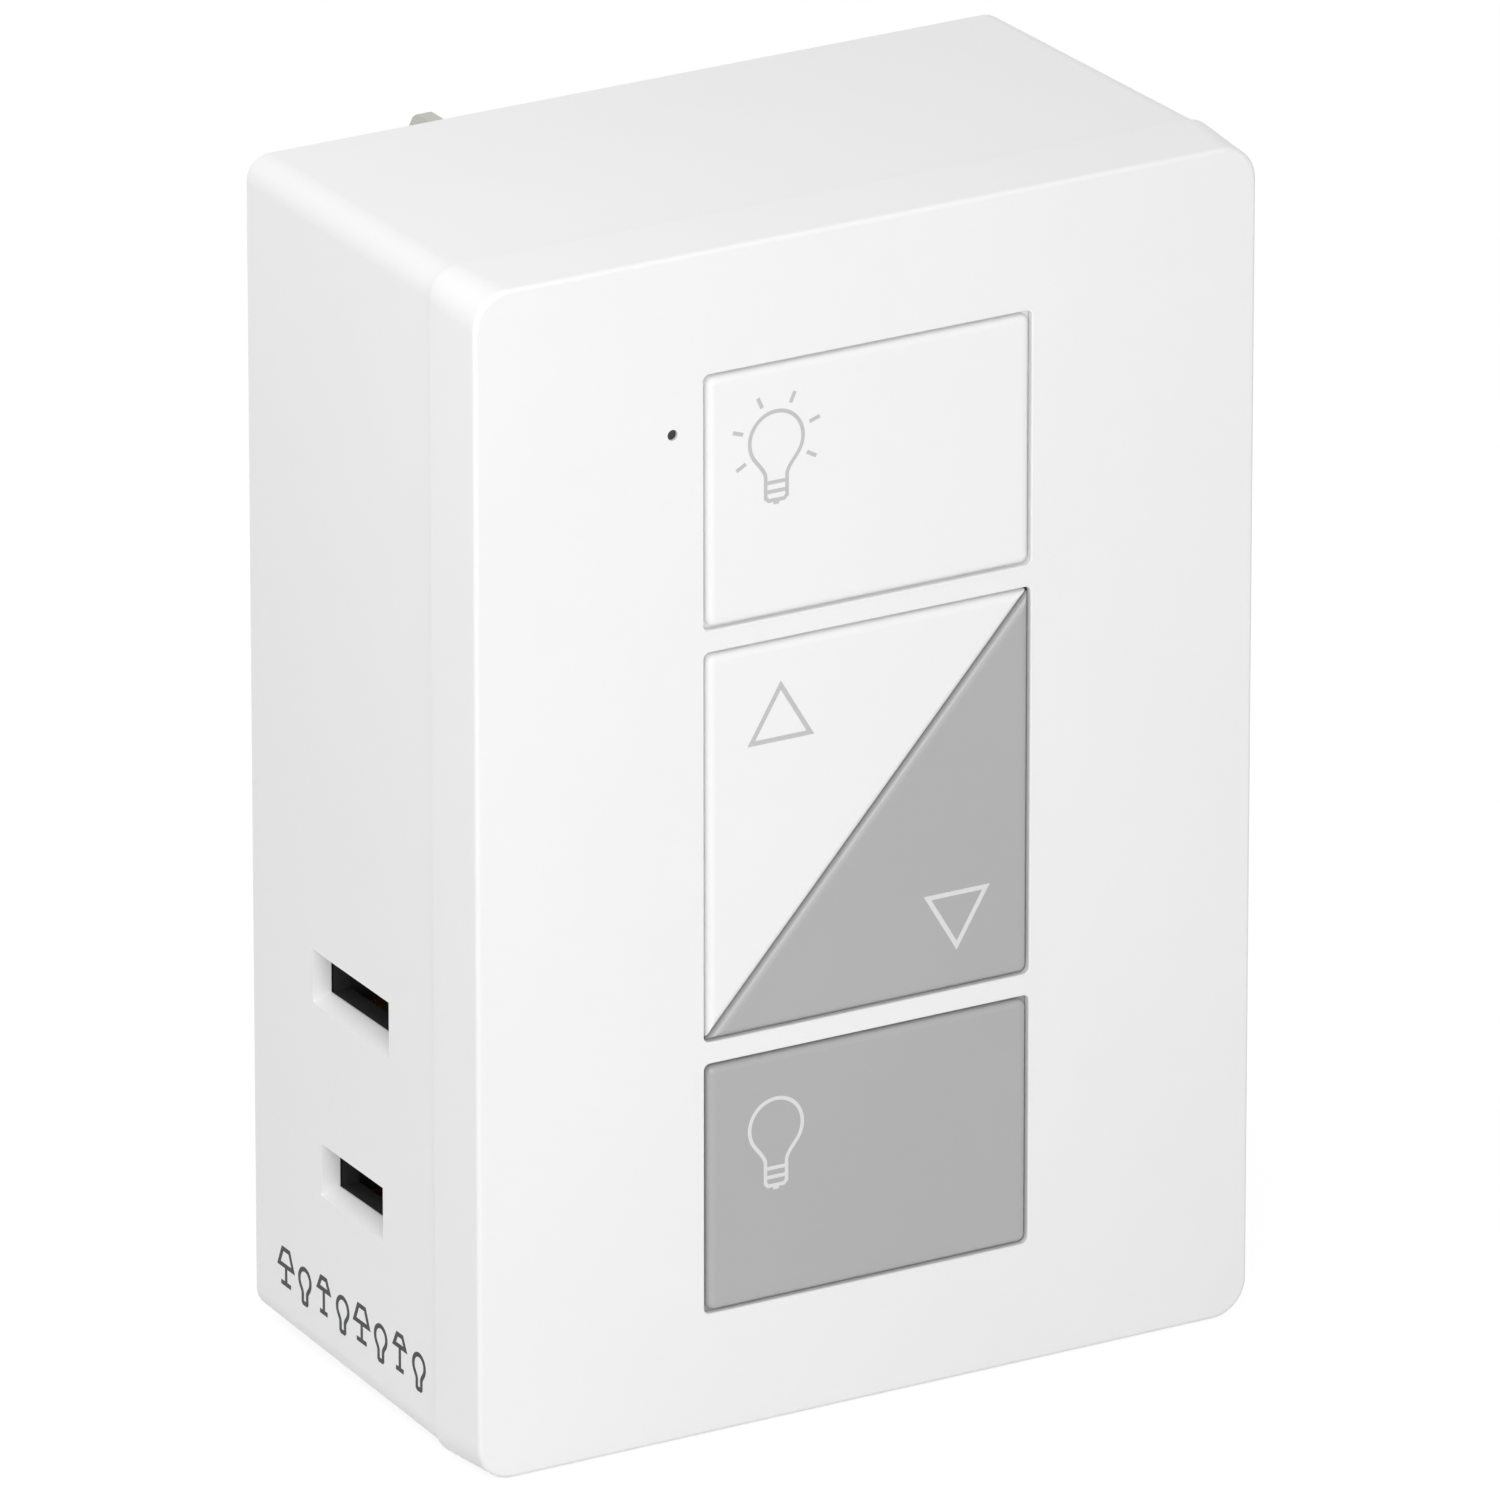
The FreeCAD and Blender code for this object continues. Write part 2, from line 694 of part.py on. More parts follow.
def corner_notches(half_x, high_z, low_z, y0, y1):
    """Blocks that take the corners off a board, where the case posts pass."""
    notches = []
    for side in (-1, 1):
        x0, x1 = sorted((side * board_notch_x, side * (half_x + cut_over)))
        notches.append(box(x0, x1, y0 - cut_over, y1 + cut_over, body_z + board_notch_z, high_z + cut_over))
        if low_z < body_z - board_notch_z:
            notches.append(box(x0, x1, y0 - cut_over, y1 + cut_over, low_z - cut_over,
                               body_z - board_notch_z))
    return notches


def make_control_board():
    """Board behind the buttons."""
    half_x, half_z = control_board_half
    board = block_at((0, body_z), 2 * half_x, 2 * half_z, control_front_y, control_back_y)
    notches = corner_notches(half_x, body_z + half_z, body_z - half_z, control_front_y, control_back_y)
    holes = [rod(place, small_shank_radius + screw_hole_clearance, control_front_y - cut_over,
                 control_back_y + cut_over) for place in board_post_places]
    return board.cut(notches + holes)


def blade_places():
    """Place along x and width of the neutral blade and the line blade."""
    return [(-blade_spacing / 2, neutral_blade_width), (blade_spacing / 2, line_blade_width)]


def make_blade(x, width):
    """One plug blade: chamfered tip, hole, shoulder inside the back wall and solder tab."""
    half = width / 2
    start_y = inner_rear_y - blade_shoulder_thickness
    tip_start_y = blade_length - blade_tip_length
    outline = [
        (start_y, -half),
        (tip_start_y, -half),
        (blade_length, blade_tip_depth - half),
        (blade_length, half - blade_tip_depth),
        (tip_start_y, half),
        (start_y, half),
        (start_y, -half),
    ]
    left_x = x - blade_thickness / 2
    face = Part.Face(Part.makePolygon([Vector(left_x, y, z) for y, z in outline]))
    blade = face.extrude(Vector(blade_thickness, 0, 0))
    blade = blade.makeFillet(blade_edge_radius, edges_along_y(blade) + edges_at(blade, blade_length))
    hole = Part.makeCylinder(blade_hole_radius, blade_thickness + 2 * cut_over,
                             Vector(left_x - cut_over, blade_hole_from_wall, 0), Vector(1, 0, 0))
    shoulder = block_at((x, 0), blade_thickness + 2 * blade_shoulder_overhang,
                        width + 2 * blade_shoulder_overhang, start_y, inner_rear_y)
    tab = block_at((x, 0), blade_thickness, blade_tab_width, power_front_y - tab_stand_out, start_y)
    return blade.cut(hole).fuse([shoulder, tab]).removeSplitter()


def make_contact_holder():
    """Black block behind the side slots, with one channel for each contact bar."""
    block = box(-holder_half_x, holder_half_x, channel_front_y, holder_back_y, holder_bottom_z, holder_top_z)
    channel_half_x = holder_half_x - holder_end_wall
    cuts = []
    for z, length in ((neutral_slot_z, neutral_slot_length), (line_slot_z, line_slot_length)):
        cuts.append(block_at((0, z), 2 * channel_half_x, 2 * channel_half_height,
                             channel_front_y - cut_over, channel_back_y))
        opening_half = length / 2 - lead_in_end_inset
        cuts.append(block_at((0, z), 2 * (holder_half_x + cut_over), slot_inner_height,
                             receptacle_y - opening_half, receptacle_y + opening_half))
    opening = riser_width + 2 * riser_clearance
    neutral_top_z = neutral_slot_z + channel_half_height
    neutral_exit = box(-riser_from_centre - opening / 2, -riser_from_centre + opening / 2,
                       channel_back_y - contact_thickness - riser_clearance, channel_back_y,
                       neutral_top_z - cut_over, holder_top_z + cut_over)
    line_exit = block_at((riser_from_centre, line_slot_z), opening,
                         contact_thickness + 2 * riser_clearance, channel_back_y - cut_over,
                         holder_back_y + cut_over)
    return block.cut(cuts + [neutral_exit, line_exit])


def make_holder_lid():
    """Plate that closes the channels towards the front."""
    return box(-holder_half_x, holder_half_x, lid_front_y, channel_front_y, holder_bottom_z, holder_top_z)


def contact_leaves(side, z):
    """A pair of leaves that grips a lamp plug's blade from above and below, with their root plate."""
    root_x = housing_half(receptacle_y)[0] - blade_reach
    mouth_x = holder_half_x - holder_end_wall - contact_mouth_gap
    pinch_x = mouth_x - contact_pinch_from_mouth
    outer = channel_half_height - contact_clearance
    inner = outer - contact_thickness
    pinch = contact_pinch_opening / 2
    leaf = [
        (root_x - contact_thickness, outer),
        (root_x, outer),
        (pinch_x, pinch + contact_thickness),
        (mouth_x, outer),
        (mouth_x, inner),
        (pinch_x, pinch),
        (root_x, inner),
    ]
    lower_leaf = [(x, -height) for x, height in reversed(leaf)]
    start_y = receptacle_y - contact_leaf_width / 2
    end_y = receptacle_y + contact_leaf_width / 2
    outline = [Vector(side * x, start_y, z + height) for x, height in leaf + lower_leaf]
    profile = Part.Face(Part.makePolygon(outline + outline[:1]))
    leaves = profile.extrude(Vector(0, contact_leaf_width, 0))
    x0, x1 = sorted((side * (root_x - contact_thickness), side * root_x))
    root = box(x0, x1, end_y, channel_back_y, z - outer, z + outer)
    return leaves.fuse(root)


def make_contact_bar(z, riser):
    """Contact bar: leaves at both ends, a strap between them and a riser to the power board."""
    root_x = housing_half(receptacle_y)[0] - blade_reach
    outer = channel_half_height - contact_clearance
    strap = box(-root_x, root_x, channel_back_y - contact_thickness, channel_back_y, z - outer, z + outer)
    return strap.fuse([contact_leaves(-1, z), contact_leaves(1, z)] + riser).removeSplitter()


def riser_foot(x, from_y):
    """Last stretch of a riser, back through its slot in the power board."""
    return block_at((x, riser_z), riser_width, contact_thickness, from_y, power_back_y + riser_tip_stand_out)


def make_neutral_bar():
    """Upper contact bar, whose riser stands straight up from the strap."""
    x0 = -riser_from_centre - riser_width / 2
    start_y = channel_back_y - contact_thickness
    upright = box(x0, x0 + riser_width, start_y, channel_back_y, neutral_slot_z,
                  riser_z + contact_thickness / 2)
    return make_contact_bar(neutral_slot_z, [upright, riser_foot(-riser_from_centre, start_y)])


def make_line_bar():
    """Lower contact bar, whose riser leaves through the holder's back and runs up behind it."""
    x0 = riser_from_centre - riser_width / 2
    front = holder_back_y + line_riser_gap
    back = front + contact_thickness
    bridge = block_at((riser_from_centre, line_slot_z), riser_width, contact_thickness,
                      channel_back_y - contact_thickness, back)
    upright = box(x0, x0 + riser_width, front, back, line_slot_z - contact_thickness / 2,
                  riser_z + contact_thickness / 2)
    return make_contact_bar(line_slot_z, [bridge, upright, riser_foot(riser_from_centre, front)])


def make_power_board():
    """Board on the back wall, which carries the mains parts."""
    board = box(-power_half_x, power_half_x, power_front_y, power_back_y, power_low_z, power_high_z)
    cuts = corner_notches(power_half_x, power_high_z, power_low_z, power_front_y, power_back_y)
    before_y = power_front_y - cut_over
    behind_y = power_back_y + cut_over
    for place in standoff_places:
        cuts.append(rod(place, large_shank_radius + screw_hole_clearance, before_y, behind_y))
    for x, width in blade_places():
        cuts.append(block_at((x, 0), blade_thickness + 2 * tab_clearance,
                             blade_tab_width + 2 * tab_clearance, before_y, behind_y))
    for side in (-1, 1):
        cuts.append(block_at((side * riser_from_centre, riser_z), riser_width + 2 * tab_clearance,
                             contact_thickness + 2 * tab_clearance, before_y, behind_y))
    return board.cut(cuts)


# Three columns of parts on the power board, each column's parts spread evenly along the height
choke_radius = choke_core_radius + choke_winding_build
left_x, centre_x, right_x = spread(
    -power_half_x, power_half_x, [core_width, 2 * capacitor_radius, film_capacitor_length])
column_top_z = upper_standoff_z - standoff_radius - part_gap
centre_top_z = -rectifier_width / 2
heat_sink_row = heat_sink_thickness + 2 * transistor_thickness
choke_z, transformer_z = spread(power_low_z, column_top_z, [2 * choke_radius, core_length])
lower_capacitor_z, varistor_z, upper_capacitor_z = spread(
    riser_z + contact_thickness, centre_top_z,
    [2 * capacitor_radius, varistor_thickness, 2 * capacitor_radius])
connector_z, heat_sink_z, film_capacitor_z, fuse_z = spread(
    power_low_z, column_top_z, [connector_width, heat_sink_row, film_capacitor_width, fuse_width])
transformer_height = board_space - transformer_headroom
transformer_y = power_front_y - transformer_height / 2


def make_transformer_core():
    """Ferrite frame with a centre leg, lying flat above the board."""
    place = (left_x, transformer_z)
    y0 = transformer_y - core_depth / 2
    y1 = transformer_y + core_depth / 2
    frame = block_at(place, core_width, core_length, y0, y1)
    window_x = (core_width - core_centre_leg) / 2 - core_leg
    window_z = core_length - 2 * core_leg
    offset = core_centre_leg / 2 + window_x / 2
    windows = [block_at((left_x + side * offset, transformer_z), window_x, window_z,
                        y0 - cut_over, y1 + cut_over) for side in (-1, 1)]
    return frame.cut(windows)


def bobbin_half():
    """Half sizes of the bobbin's tube outside: across the centre leg and along the depth."""
    half_x = core_centre_leg / 2 + bobbin_clearance + bobbin_wall
    half_y = core_depth / 2 + bobbin_clearance + bobbin_wall
    return half_x, half_y


def make_transformer_bobbin():
    """Plastic tube round the centre leg, with an end plate on both sides that stands on the board."""
    half_x, half_y = bobbin_half()
    half_z = core_length / 2 - core_leg - bobbin_clearance
    plate_half_x = core_width / 2 - core_leg - bobbin_clearance
    tube = box(left_x - half_x, left_x + half_x, transformer_y - half_y, transformer_y + half_y,
               transformer_z - half_z, transformer_z + half_z)
    plates = []
    for side in (-1, 1):
        plate_z = transformer_z + side * (half_z - bobbin_wall / 2)
        plates.append(block_at((left_x, plate_z), 2 * plate_half_x, bobbin_wall,
                               power_front_y - transformer_height, power_front_y))
    bore = box(left_x - half_x + bobbin_wall, left_x + half_x - bobbin_wall,
               transformer_y - half_y + bobbin_wall, transformer_y + half_y - bobbin_wall,
               transformer_z - half_z - cut_over, transformer_z + half_z + cut_over)
    return tube.fuse(plates).cut(bore)


def make_transformer_winding():
    """Wound wire on the bobbin, as one plain body."""
    half_x, half_y = bobbin_half()
    half_z = core_length / 2 - core_leg - bobbin_clearance - bobbin_wall
    outer_half_x = core_width / 2 - core_leg - 2 * bobbin_clearance
    outer_half_y = transformer_height / 2 - bobbin_wall
    outer = box(left_x - outer_half_x, left_x + outer_half_x, transformer_y - outer_half_y,
                transformer_y + outer_half_y, transformer_z - half_z, transformer_z + half_z)
    inner = box(left_x - half_x, left_x + half_x, transformer_y - half_y, transformer_y + half_y,
                transformer_z - half_z - cut_over, transformer_z + half_z + cut_over)
    return outer.cut(inner)


def ring_section(inner, outer, y0, y1):
    """Rectangle between two radii, beside the choke's axis, to be turned about it."""
    centre = Vector(left_x, 0, choke_z)
    corners = [(inner, y0), (outer, y0), (outer, y1), (inner, y1), (inner, y0)]
    points = [centre + Vector(radius, y, 0) for radius, y in corners]
    return Part.Face(Part.makePolygon(points))


def make_choke_core():
    """Ferrite ring of the choke, inside its winding."""
    y1 = power_front_y - choke_winding_build
    section = ring_section(choke_core_bore, choke_core_radius, y1 - choke_core_height, y1)
    return section.revolve(Vector(left_x, 0, choke_z), Vector(0, 1, 0), 360)


def make_choke_winding():
    """Winding round most of the ring, as one plain sleeve."""
    build = choke_winding_build
    total_height = choke_core_height + 2 * build
    sleeve = ring_section(choke_core_bore - build, choke_radius, power_front_y - total_height, power_front_y)
    hollow = ring_section(choke_core_bore, choke_core_radius, power_front_y - total_height + build,
                          power_front_y - build)
    section = sleeve.cut(hollow)
    return section.revolve(Vector(left_x, 0, choke_z), Vector(0, 1, 0), choke_winding_angle)


def make_storage_capacitor(z):
    """Upright round capacitor can."""
    top_y = power_front_y - board_space + capacitor_headroom
    can = rod((centre_x, z), capacitor_radius, top_y, power_front_y)
    return can.makeFillet(capacitor_edge_radius, edges_at(can, top_y))


def make_surge_varistor():
    """Round disc that stands on two short legs, between the capacitors."""
    centre_y = power_front_y - varistor_leg_length - varistor_radius
    disc = Part.makeCylinder(varistor_radius, varistor_thickness,
                             Vector(centre_x, centre_y, varistor_z - varistor_thickness / 2),
                             Vector(0, 0, 1))
    legs = [block_at((centre_x + side * varistor_radius / 2, varistor_z), lead_width, lead_thickness,
                     centre_y, power_front_y) for side in (-1, 1)]
    return disc.fuse(legs)


def make_film_capacitor():
    """Boxed capacitor beside the fuse."""
    top_y = power_front_y - board_space + film_capacitor_headroom
    return rounded_block((right_x, film_capacitor_z), film_capacitor_length, film_capacitor_width,
                         top_y, power_front_y, part_edge_radius)


def make_fuse():
    """Boxed fuse that stands on the board."""
    return rounded_block((right_x, fuse_z), fuse_length, fuse_width, power_front_y - fuse_height,
                         power_front_y, part_edge_radius)


def make_heat_sink():
    """Upright plate between the two dimming transistors."""
    top_y = power_front_y - board_space + heat_sink_headroom
    return block_at((right_x, heat_sink_z), heat_sink_length, heat_sink_thickness, top_y, power_front_y)


def make_transistor(side):
    """Dimming transistor on one side of the heat sink, on three legs."""
    z = heat_sink_z + side * (heat_sink_thickness + transistor_thickness) / 2
    low_y = power_front_y - transistor_leg_length
    body = block_at((right_x, z), transistor_width, transistor_thickness, low_y - transistor_height, low_y)
    legs = [block_at((right_x + step * transistor_leg_spacing, z), lead_width, lead_thickness,
                     low_y, power_front_y) for step in (-1, 0, 1)]
    return body.fuse(legs)


def make_bridge_rectifier():
    """Flat block between the solder tabs of the blades."""
    return rounded_block((0, 0), rectifier_length, rectifier_width, power_front_y - rectifier_height,
                         power_front_y, part_edge_radius)


def make_board_connector():
    """Plug-in connector that joins the two boards and fills the space between them."""
    x = lower_standoff_x - standoff_radius - part_gap - connector_length / 2
    return block_at((x, connector_z), connector_length, connector_width, control_back_y, power_front_y)


def make_controller():
    """Processor on the back of the control board."""
    return block_at((centre_x, transformer_z), controller_size, controller_size, control_back_y,
                    control_back_y + controller_height)


def make_radio_shield():
    """Metal can over the radio, on the back of the control board."""
    return rounded_block((left_x, choke_z), shield_length, shield_width, control_back_y,
                         control_back_y + shield_height, part_edge_radius)


def make_crystal():
    """Small metal crystal beside the radio."""
    return block_at((centre_x, choke_z), crystal_length, crystal_width, control_back_y,
                    control_back_y + crystal_height)


def make_antenna():
    """Flat antenna strip near the board's top edge."""
    z = body_z + control_board_half[1] - antenna_below_edge
    return block_at((0, z), antenna_length, antenna_width, control_back_y,
                    control_back_y + antenna_thickness)


def save_numbered(name, shapes):
    """Write repeated pieces as NAME_1, NAME_2 and so on."""
    for number, shape in enumerate(shapes, start=1):
        save(name + "_" + str(number), shape)


def main():
    """Make and write every piece."""
    os.makedirs("parts", exist_ok=True)
    save("front_cover", make_front_cover())
    save("rear_housing", make_rear_housing())
    save_numbered("case_screw", [
        screw(place, screw_seat_y, case_pilot_end_y + screw_tip_gap, large_head_radius,
              large_head_height, large_shank_radius) for place in case_post_places])
    for name in switch_places:
        save(name + "_button", make_button(name))
        save(name + "_switch_housing", make_switch_housing(name))
        save(name + "_switch_plunger", make_plunger(name))
    save("button_guide_frame", make_guide_frame())
    save("status_light_pipe", make_light_pipe())
    save("status_lamp", make_status_lamp())
    save("control_board", make_control_board())
    save_numbered("control_board_screw", [
        screw(place, control_back_y, small_screw_tip_y, small_head_radius, small_head_height,
              small_shank_radius) for place in board_post_places])
    save("microcontroller", make_controller())
    save("radio_shield", make_radio_shield())
    save("crystal", make_crystal())
    save("antenna", make_antenna())
    save("contact_holder", make_contact_holder())
    save("contact_holder_lid", make_holder_lid())
    save("neutral_contact_bar", make_neutral_bar())
    save("line_contact_bar", make_line_bar())
    save("power_board", make_power_board())
    save_numbered("power_board_screw", [
        screw(place, power_front_y, -pilot_skin - screw_tip_gap, large_head_radius,
              large_head_height, large_shank_radius) for place in standoff_places])
    for name, (x, width) in zip(("neutral", "line"), blade_places()):
        save(name + "_blade", make_blade(x, width))
    save("transformer_core", make_transformer_core())
    save("transformer_bobbin", make_transformer_bobbin())
    save("transformer_winding", make_transformer_winding())
    save("choke_core", make_choke_core())
    save("choke_winding", make_choke_winding())
    save_numbered("storage_capacitor", [
        make_storage_capacitor(z) for z in (lower_capacitor_z, upper_capacitor_z)])
    save("surge_varistor", make_surge_varistor())
    save("film_capacitor", make_film_capacitor())
    save("fuse", make_fuse())
    save("heat_sink", make_heat_sink())
    save_numbered("dimmer_transistor", [make_transistor(side) for side in (-1, 1)])
    save("bridge_rectifier", make_bridge_rectifier())
    save("board_connector", make_board_connector())


main()
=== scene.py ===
# %% [markdown]
# # A plug-in lamp dimmer
# The object is a small white box that hangs on a wall outlet by two blades. A table lamp plugs into the
# slots in its side, and four buttons on its face switch and dim it. The solids of the case, the buttons
# and everything inside are finished models already. This lesson gives each of them the finish of its
# real material, prints the pictograms, and sets up the lights and the camera.
#
# The solids come in as a frame that never moves: every place below is measured from it, so nothing has
# to be fitted by eye afterwards.

# %% Load the solids
import json
import math

import bpy
import numpy as np
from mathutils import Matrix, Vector


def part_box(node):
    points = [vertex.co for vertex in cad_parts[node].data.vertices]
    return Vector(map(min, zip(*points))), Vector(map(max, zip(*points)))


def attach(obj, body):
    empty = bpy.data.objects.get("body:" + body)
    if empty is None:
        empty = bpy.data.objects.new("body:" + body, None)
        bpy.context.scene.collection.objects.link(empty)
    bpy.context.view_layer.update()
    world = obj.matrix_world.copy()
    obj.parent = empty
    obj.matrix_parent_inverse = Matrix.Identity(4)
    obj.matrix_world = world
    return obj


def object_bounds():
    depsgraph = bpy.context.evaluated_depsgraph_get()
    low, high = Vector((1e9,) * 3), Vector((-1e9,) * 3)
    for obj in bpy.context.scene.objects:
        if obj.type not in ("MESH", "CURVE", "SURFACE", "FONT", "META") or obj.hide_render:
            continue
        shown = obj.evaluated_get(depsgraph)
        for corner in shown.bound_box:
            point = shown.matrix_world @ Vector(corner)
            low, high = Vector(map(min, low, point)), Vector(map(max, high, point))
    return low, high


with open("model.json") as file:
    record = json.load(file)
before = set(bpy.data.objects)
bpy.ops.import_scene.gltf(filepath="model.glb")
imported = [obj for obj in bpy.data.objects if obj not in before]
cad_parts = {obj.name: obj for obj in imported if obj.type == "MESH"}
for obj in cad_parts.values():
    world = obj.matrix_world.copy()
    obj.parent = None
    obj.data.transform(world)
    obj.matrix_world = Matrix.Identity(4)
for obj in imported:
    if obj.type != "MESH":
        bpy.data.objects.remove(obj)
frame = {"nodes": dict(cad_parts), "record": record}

MM = 0.001
solids_low, solids_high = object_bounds()
print("solids:", len(frame["nodes"]), "size in mm:", [round(v / MM, 1) for v in solids_high - solids_low])

# %% [markdown]
# ## Camera
# A product photograph like this one is taken from far away with a long lens, which keeps the box's
# edges nearly parallel. One could guess a view and nudge it. Here the camera is placed the way a
# photographer would note it down: which way and how high it stands from the object, how far away, and
# what it is aimed at. One function turns the two angles into a direction, and the lamps use it again.


# %% A direction from two angles
def towards(azimuth, elevation):
    """Unit vector from the object to a place: azimuth 0 is in front, at -Y, and turns towards +X."""
    turn, rise = math.radians(azimuth), math.radians(elevation)
    return Vector((math.sin(turn) * math.cos(rise), -math.cos(turn) * math.cos(rise), math.sin(rise)))


# %% The camera
camera_azimuth, camera_elevation = -29.686, 21.642
camera_distance = 1352.7 * MM
aim = Vector((1.05, -13.53, -30.57)) * MM
focal_length, sensor_width = 522.6, 36.0

lens = bpy.data.cameras.new("long_lens")
lens.sensor_width = sensor_width
lens.lens = focal_length
camera = bpy.data.objects.new("camera", lens)
camera.location = aim + towards(camera_azimuth, camera_elevation) * camera_distance
camera.rotation_euler = towards(camera_azimuth, camera_elevation).to_track_quat("Z", "Y").to_euler()
bpy.context.scene.collection.objects.link(camera)
bpy.context.scene.camera = camera
print("camera at", [round(v, 3) for v in camera.location])

# %% [markdown]
# ## Colour and nodes
# Colours are written as the hex values that a paint chart or a photograph gives, which are sRGB. The
# shader wants light in linear steps, so one function turns one into the other. A second small function
# adds a node with its settings and its inputs, which keeps every material below short enough to read
# as a recipe.


# %% From hex to linear light
def linear(hex_colour):
    """Linear RGBA of an sRGB hex value: c / 12.92 near black, ((c + 0.055) / 1.055) to the 2.4 above."""
    parts = np.array([int(hex_colour[i:i + 2], 16) for i in (1, 3, 5)]) / 255
    light = np.where(parts <= 0.04045, parts / 12.92, ((parts + 0.055) / 1.055) ** 2.4)
    return (*light, 1.0)


# %% One node at a time
def add(tree, kind, inputs=(), **settings):
    """Add a node, set its options, then give each named input a value or link it to an output."""
    node = tree.nodes.new(kind)
    for name, value in settings.items():
        setattr(node, name, value)
    for socket, value in dict(inputs).items():
        if isinstance(value, bpy.types.NodeSocket):
            tree.links.new(value, node.inputs[socket])
        else:
            node.inputs[socket].default_value = value
    return node


def per_metre(millimetres):
    """Texture scale of a noise or of cells that are that far apart."""
    return 1 / (millimetres * MM)


def waves_per_metre(millimetres):
    """Texture scale of waves that are that far apart: at scale 1 there is one every pi / 10 units."""
    return per_metre(millimetres) * math.pi / 10


# %% A material to start from
def surface(name, colour, **uniform):
    """New material with one shader, its colour and its uniform values, and the object's coordinates."""
    material = bpy.data.materials.new(name)
    material.use_nodes = True
    tree = material.node_tree
    tree.nodes.clear()
    shader = add(tree, "ShaderNodeBsdfPrincipled", {"Base Color": linear(colour)})
    for socket, value in uniform.items():
        shader.inputs[socket.replace("_", " ")].default_value = value
    add(tree, "ShaderNodeOutputMaterial", {"Surface": shader.outputs["BSDF"]})
    place = add(tree, "ShaderNodeTexCoord").outputs["Object"]
    print("material", name)
    return material, tree, shader, place


def relief(tree, shader, height, depth):
    """Let a pattern from 0 to 1 stand up from the surface by a depth in millimetres."""
    bump = add(tree, "ShaderNodeBump", {"Height": height, "Distance": depth * MM, "Strength": 1.0})
    tree.links.new(bump.outputs["Normal"], shader.inputs["Normal"])


def noise(tree, place, width, detail):
    """Pattern from 0 to 1 of grains or clouds that are a width in millimetres apart."""
    grains = add(tree, "ShaderNodeTexNoise", {"Vector": place, "Scale": per_metre(width), "Detail": detail})
    return grains.outputs["Fac"]


def between(tree, pattern, low, high):
    """Spread a pattern from 0 to 1 over the values between low and high."""
    spread = add(tree, "ShaderNodeMapRange", {"Value": pattern, "To Min": low, "To Max": high})
    return spread.outputs["Result"]


def tint(tree, shader, pattern, dark, light):
    """Colour the shader between two hex colours, as the pattern goes from 0 to 1."""
    mix = add(tree, "ShaderNodeMix", data_type="RGBA")
    mix.inputs[6].default_value = linear(dark)
    mix.inputs[7].default_value = linear(light)
    tree.links.new(pattern, mix.inputs[0])
    tree.links.new(mix.outputs[2], shader.inputs["Base Color"])


# %% [markdown]
# ## Moulded plastic
# Case and buttons are ABS, moulded in a steel tool. The tool's surface is spark eroded, which leaves
# tiny craters, and the plastic takes them over: that is the satin look. It could be painted on as an
# image, but a noise at the craters' real spacing works at any distance and needs no image. A slower
# noise makes the gloss wander a little, as the melt does where it cools unevenly. The craters of a
# real case are about 0.03 mm wide, too fine for this picture, so they are drawn a few times wider.


# %% One recipe for every moulded plastic
def moulded(name, dark, light, roughness, crater, depth, ior=1.53, cloud=11.0):
    """Plastic between two close colours, with craters of a width and depth, and slow clouds of gloss.

    colour = mix of dark and light by the clouds, roughness = its middle value, 10 % up and down.
    """
    material, tree, shader, place = surface(name, light, IOR=ior)
    clouds = noise(tree, place, cloud, detail=3.0)
    craters = noise(tree, place, crater, detail=2.0)
    gloss = between(tree, clouds, roughness * 0.9, roughness * 1.1)
    tree.links.new(gloss, shader.inputs["Roughness"])
    tint(tree, shader, clouds, dark, light)
    relief(tree, shader, craters, depth)
    return material


# %% The plastics of the case and the buttons
finish = {
    "case_plastic": moulded("white_abs_spark_eroded", "#F4F4F4", "#F7F7F7", 0.42, 0.16, 0.004),
    "white_key": moulded("white_abs_fine_satin", "#F5F5F5", "#F7F7F7", 0.34, 0.12, 0.002),
    "gray_key": moulded("grey_abs_fine_satin", "#B0B0B1", "#B4B4B4", 0.34, 0.12, 0.002),
}

# %% The plastics inside
finish["natural_plastic"] = moulded("natural_nylon_moulded", "#DAD4C4", "#E2DDD0", 0.45, 0.3, 0.006)
finish["black_plastic"] = moulded("black_pbt_glass_filled", "#2A2A2C", "#323234", 0.5, 0.2, 0.006, ior=1.57)
finish["film_box"] = moulded("yellow_polyester_box", "#C79F16", "#D2AC22", 0.25, 0.5, 0.002, ior=1.58)

# %% [markdown]
# ## Smoked plastic
# The light pipe is polished polycarbonate: it carries the status lamp's light to the pinhole. A smoked
# grade looks black while the lamp is off, which is why the pinhole is a dark dot. It is transmission
# through a dark tint, with an IOR of 1.585. The lamp itself is a chip under a drop of resin that looks
# pale yellow while it is off.


# %% Light pipe and lamp chip
def smoked_pipe():
    """Polycarbonate: smoked, polished, with clouds where the polish is less fine."""
    material, tree, shader, place = surface(
        "polycarbonate_smoked_polished", "#2C2C2E", IOR=1.585, Transmission_Weight=0.5)
    clouds = noise(tree, place, width=0.4, detail=2.0)
    tree.links.new(between(tree, clouds, 0.08, 0.2), shader.inputs["Roughness"])
    return material


def lamp_resin():
    """Epoxy with phosphor: pale yellow grains in a glossy drop."""
    material, tree, shader, place = surface(
        "epoxy_resin_with_phosphor", "#E8DFA6", IOR=1.54, Roughness=0.2, Coat_Weight=0.4)
    grains = noise(tree, place, width=0.08, detail=2.0)
    tint(tree, shader, grains, "#DCCB74", "#F0EBC8")
    return material


finish["smoked_plastic"] = smoked_pipe()
finish["lamp_plastic"] = lamp_resin()

